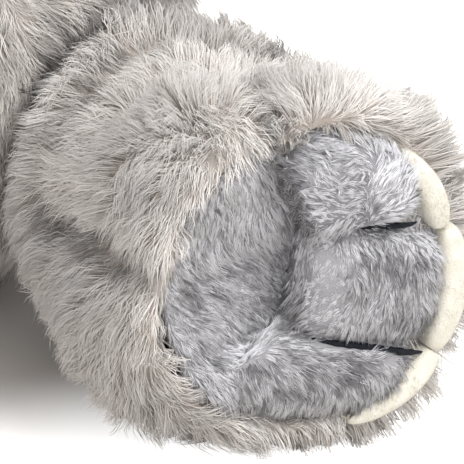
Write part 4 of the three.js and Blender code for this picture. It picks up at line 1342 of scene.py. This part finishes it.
# Tail: a stuffed cord that hangs, and a tuft on its end
tail = {
    "pivot": at(0, 115.283, 60), "droop": 30.0, "moreDroop": 10.0, "length": 56.0, "root": 6.0, "end": 3.6,
    "sunk": 6.0, "rings": 40, "sides": 24, "bend": (2, 16), "lay": 20,
    "bulb": [(1.5, -6), (3.4, -4), (4.2, 0), (3.6, 4), (2.0, 7)], "bulbSides": 20,
}
tailPile = {**coarsePile, "count": 2000, "length": 8.0, "rise": 0.35, "width": 0.3}
tuftPile = {
    **coarsePile, "count": 620, "length": 29.0, "rise": 0.22, "width": 0.45, "levels": 3,
    "perLock": 8, "perTuft": 40, "tuftPull": 0.4,
}
along = np.linspace(-tail["sunk"], tail["length"], tail["rings"])
droop = np.radians(tail["droop"] + tail["moreDroop"] * ramp(along, 0, tail["length"]))
ways = np.stack([0 * along, np.cos(droop), -np.sin(droop)], axis=1)
places = tail["pivot"] + np.cumsum(ways * np.gradient(along)[:, None], axis=0) - tail["sunk"] * ways[0]
radius = np.interp(along, [0, tail["length"]], [tail["root"], tail["end"]])
tailForm = closedForm(tube(places, ways, radius, tail["sides"]))
bend = {"from": "torso", "span": [places[k] for k in tail["bend"]]}
addForm("tail_cloth", tailForm, "tail", "long_pile", ["tail_cord"], bend)
addFur("tail_fur", tailForm, combed(ways[tail["lay"]]), tailPile, "tail", "long_pile", 111,
       lambda middle, normal: insideEgg(middle, torso, -8) > 1, bend)
tuftForm = closedForm(places[-1] + spun(tail["bulb"], tail["bulbSides"]) @ frameOf(ways[-1]))
addForm("tail_tuft_heart", tuftForm, "tail", "long_pile", ["tail_tuft"])
addFur("tail_tuft_fur", tuftForm, combed(ways[-1]), tuftPile, "tail", "long_pile", 112)
print("tail done")

# Seat: a round patch that closes the bottom, over the bag of pellets
seat = {
    "radius": 45.0, "low": 0.2, "thick": 2.2, "sides": 72,
    "profile": [(0.1, 0.0), (0.6, 0.0), (0.97, 0.1), (1.0, 0.5), (0.97, 0.9), (0.5, 1.0)],
}
patch = np.array(seat["profile"]) * at(seat["radius"], seat["thick"]) + at(0, seat["low"])
addForm("seat_patch", closedForm(spun(patch, seat["sides"])), "torso", "long_pile", ["seat_panel"])
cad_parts["pellet_bag"].material_slots[0].material = pelletCloth
print("seat done")

# Stage: a wide floor, grey near the toy and painted white for the camera further out, white surroundings and
# soft light from above on the right
stage = {
    "reach": 400.0, "colour": (0.72, 0.69, 0.66, 1), "white": (1, 1, 1, 1),
    "paintedFloorLight": (0.0, 0.9), "glowFrom": (0.115, 0.2), "sky": 0.74, "seen": 1.0,
}
floorWhite, tree, shader = newMaterial("floorWhite", 1.0, 0.0)
corners = np.stack([at(-1, -1, 0), at(1, -1, 0), at(1, 1, 0), at(-1, 1, 0)]) * stage["reach"] / mm
floor = storeMesh("floor", corners, np.array([[0, 1, 2, 3]]), np.zeros((0, 3), int), floorWhite)
place = tree.nodes.new("ShaderNodeTexCoord").outputs["Object"]
apart = tree.nodes.new("ShaderNodeVectorMath")
apart.operation = "LENGTH"
tree.links.new(place, apart.inputs[0])
# painted light: camera-only glow from none at 0.115 m to full at 0.2 m from the middle, whitening the floor
# and its shadows away from the toy
paintedFloorLight = mapValue(tree, apart.outputs["Value"], stage["glowFrom"], stage["paintedFloorLight"])
path = tree.nodes.new("ShaderNodeLightPath").outputs
shader.inputs["Base Color"].default_value = stage["colour"]
shader.inputs["Emission Color"].default_value = stage["white"]
tree.links.new(mathNode(tree, "MULTIPLY", path["Is Camera Ray"], paintedFloorLight), shader.inputs["Emission Strength"])

world = bpy.data.worlds.new("studio")
bpy.context.scene.world = world
world.use_nodes = True
tree = world.node_tree
sky = tree.nodes["Background"]
seen = addNode(tree, "Background", Color=stage["white"], Strength=stage["seen"])
sky.inputs["Color"].default_value = stage["white"]
sky.inputs["Strength"].default_value = stage["sky"]
path = tree.nodes.new("ShaderNodeLightPath").outputs
direct = path["Is Camera Ray"]
for kind in ("Is Glossy Ray", "Is Transmission Ray"):
    direct = mathNode(tree, "MAXIMUM", direct, path[kind])
mixer = tree.nodes.new("ShaderNodeMixShader")
for socket, source in enumerate((direct, sky.outputs[0], seen.outputs[0])):
    tree.links.new(source, mixer.inputs[socket])
tree.links.new(mixer.outputs[0], tree.nodes["World Output"].inputs["Surface"])

lamps = [
    {"name": "key", "from": (0.42, -0.28, 0.86), "strength": 1.7, "angle": 35.0},
    {"name": "fill", "from": (0.3, -0.85, 0.45), "strength": 1.2, "angle": 60.0},
]
for lamp in lamps:
    data = bpy.data.lights.new(lamp["name"], "SUN")
    data.energy = lamp["strength"]
    data.angle = math.radians(lamp["angle"])
    sun = bpy.data.objects.new(lamp["name"], data)
    sun.rotation_mode = "QUATERNION"
    sun.rotation_quaternion = (-Vector(lamp["from"])).to_track_quat("-Z", "Y")
    bpy.context.scene.collection.objects.link(sun)
bpy.context.scene.view_settings.view_transform = "Standard"
print("stage lit")
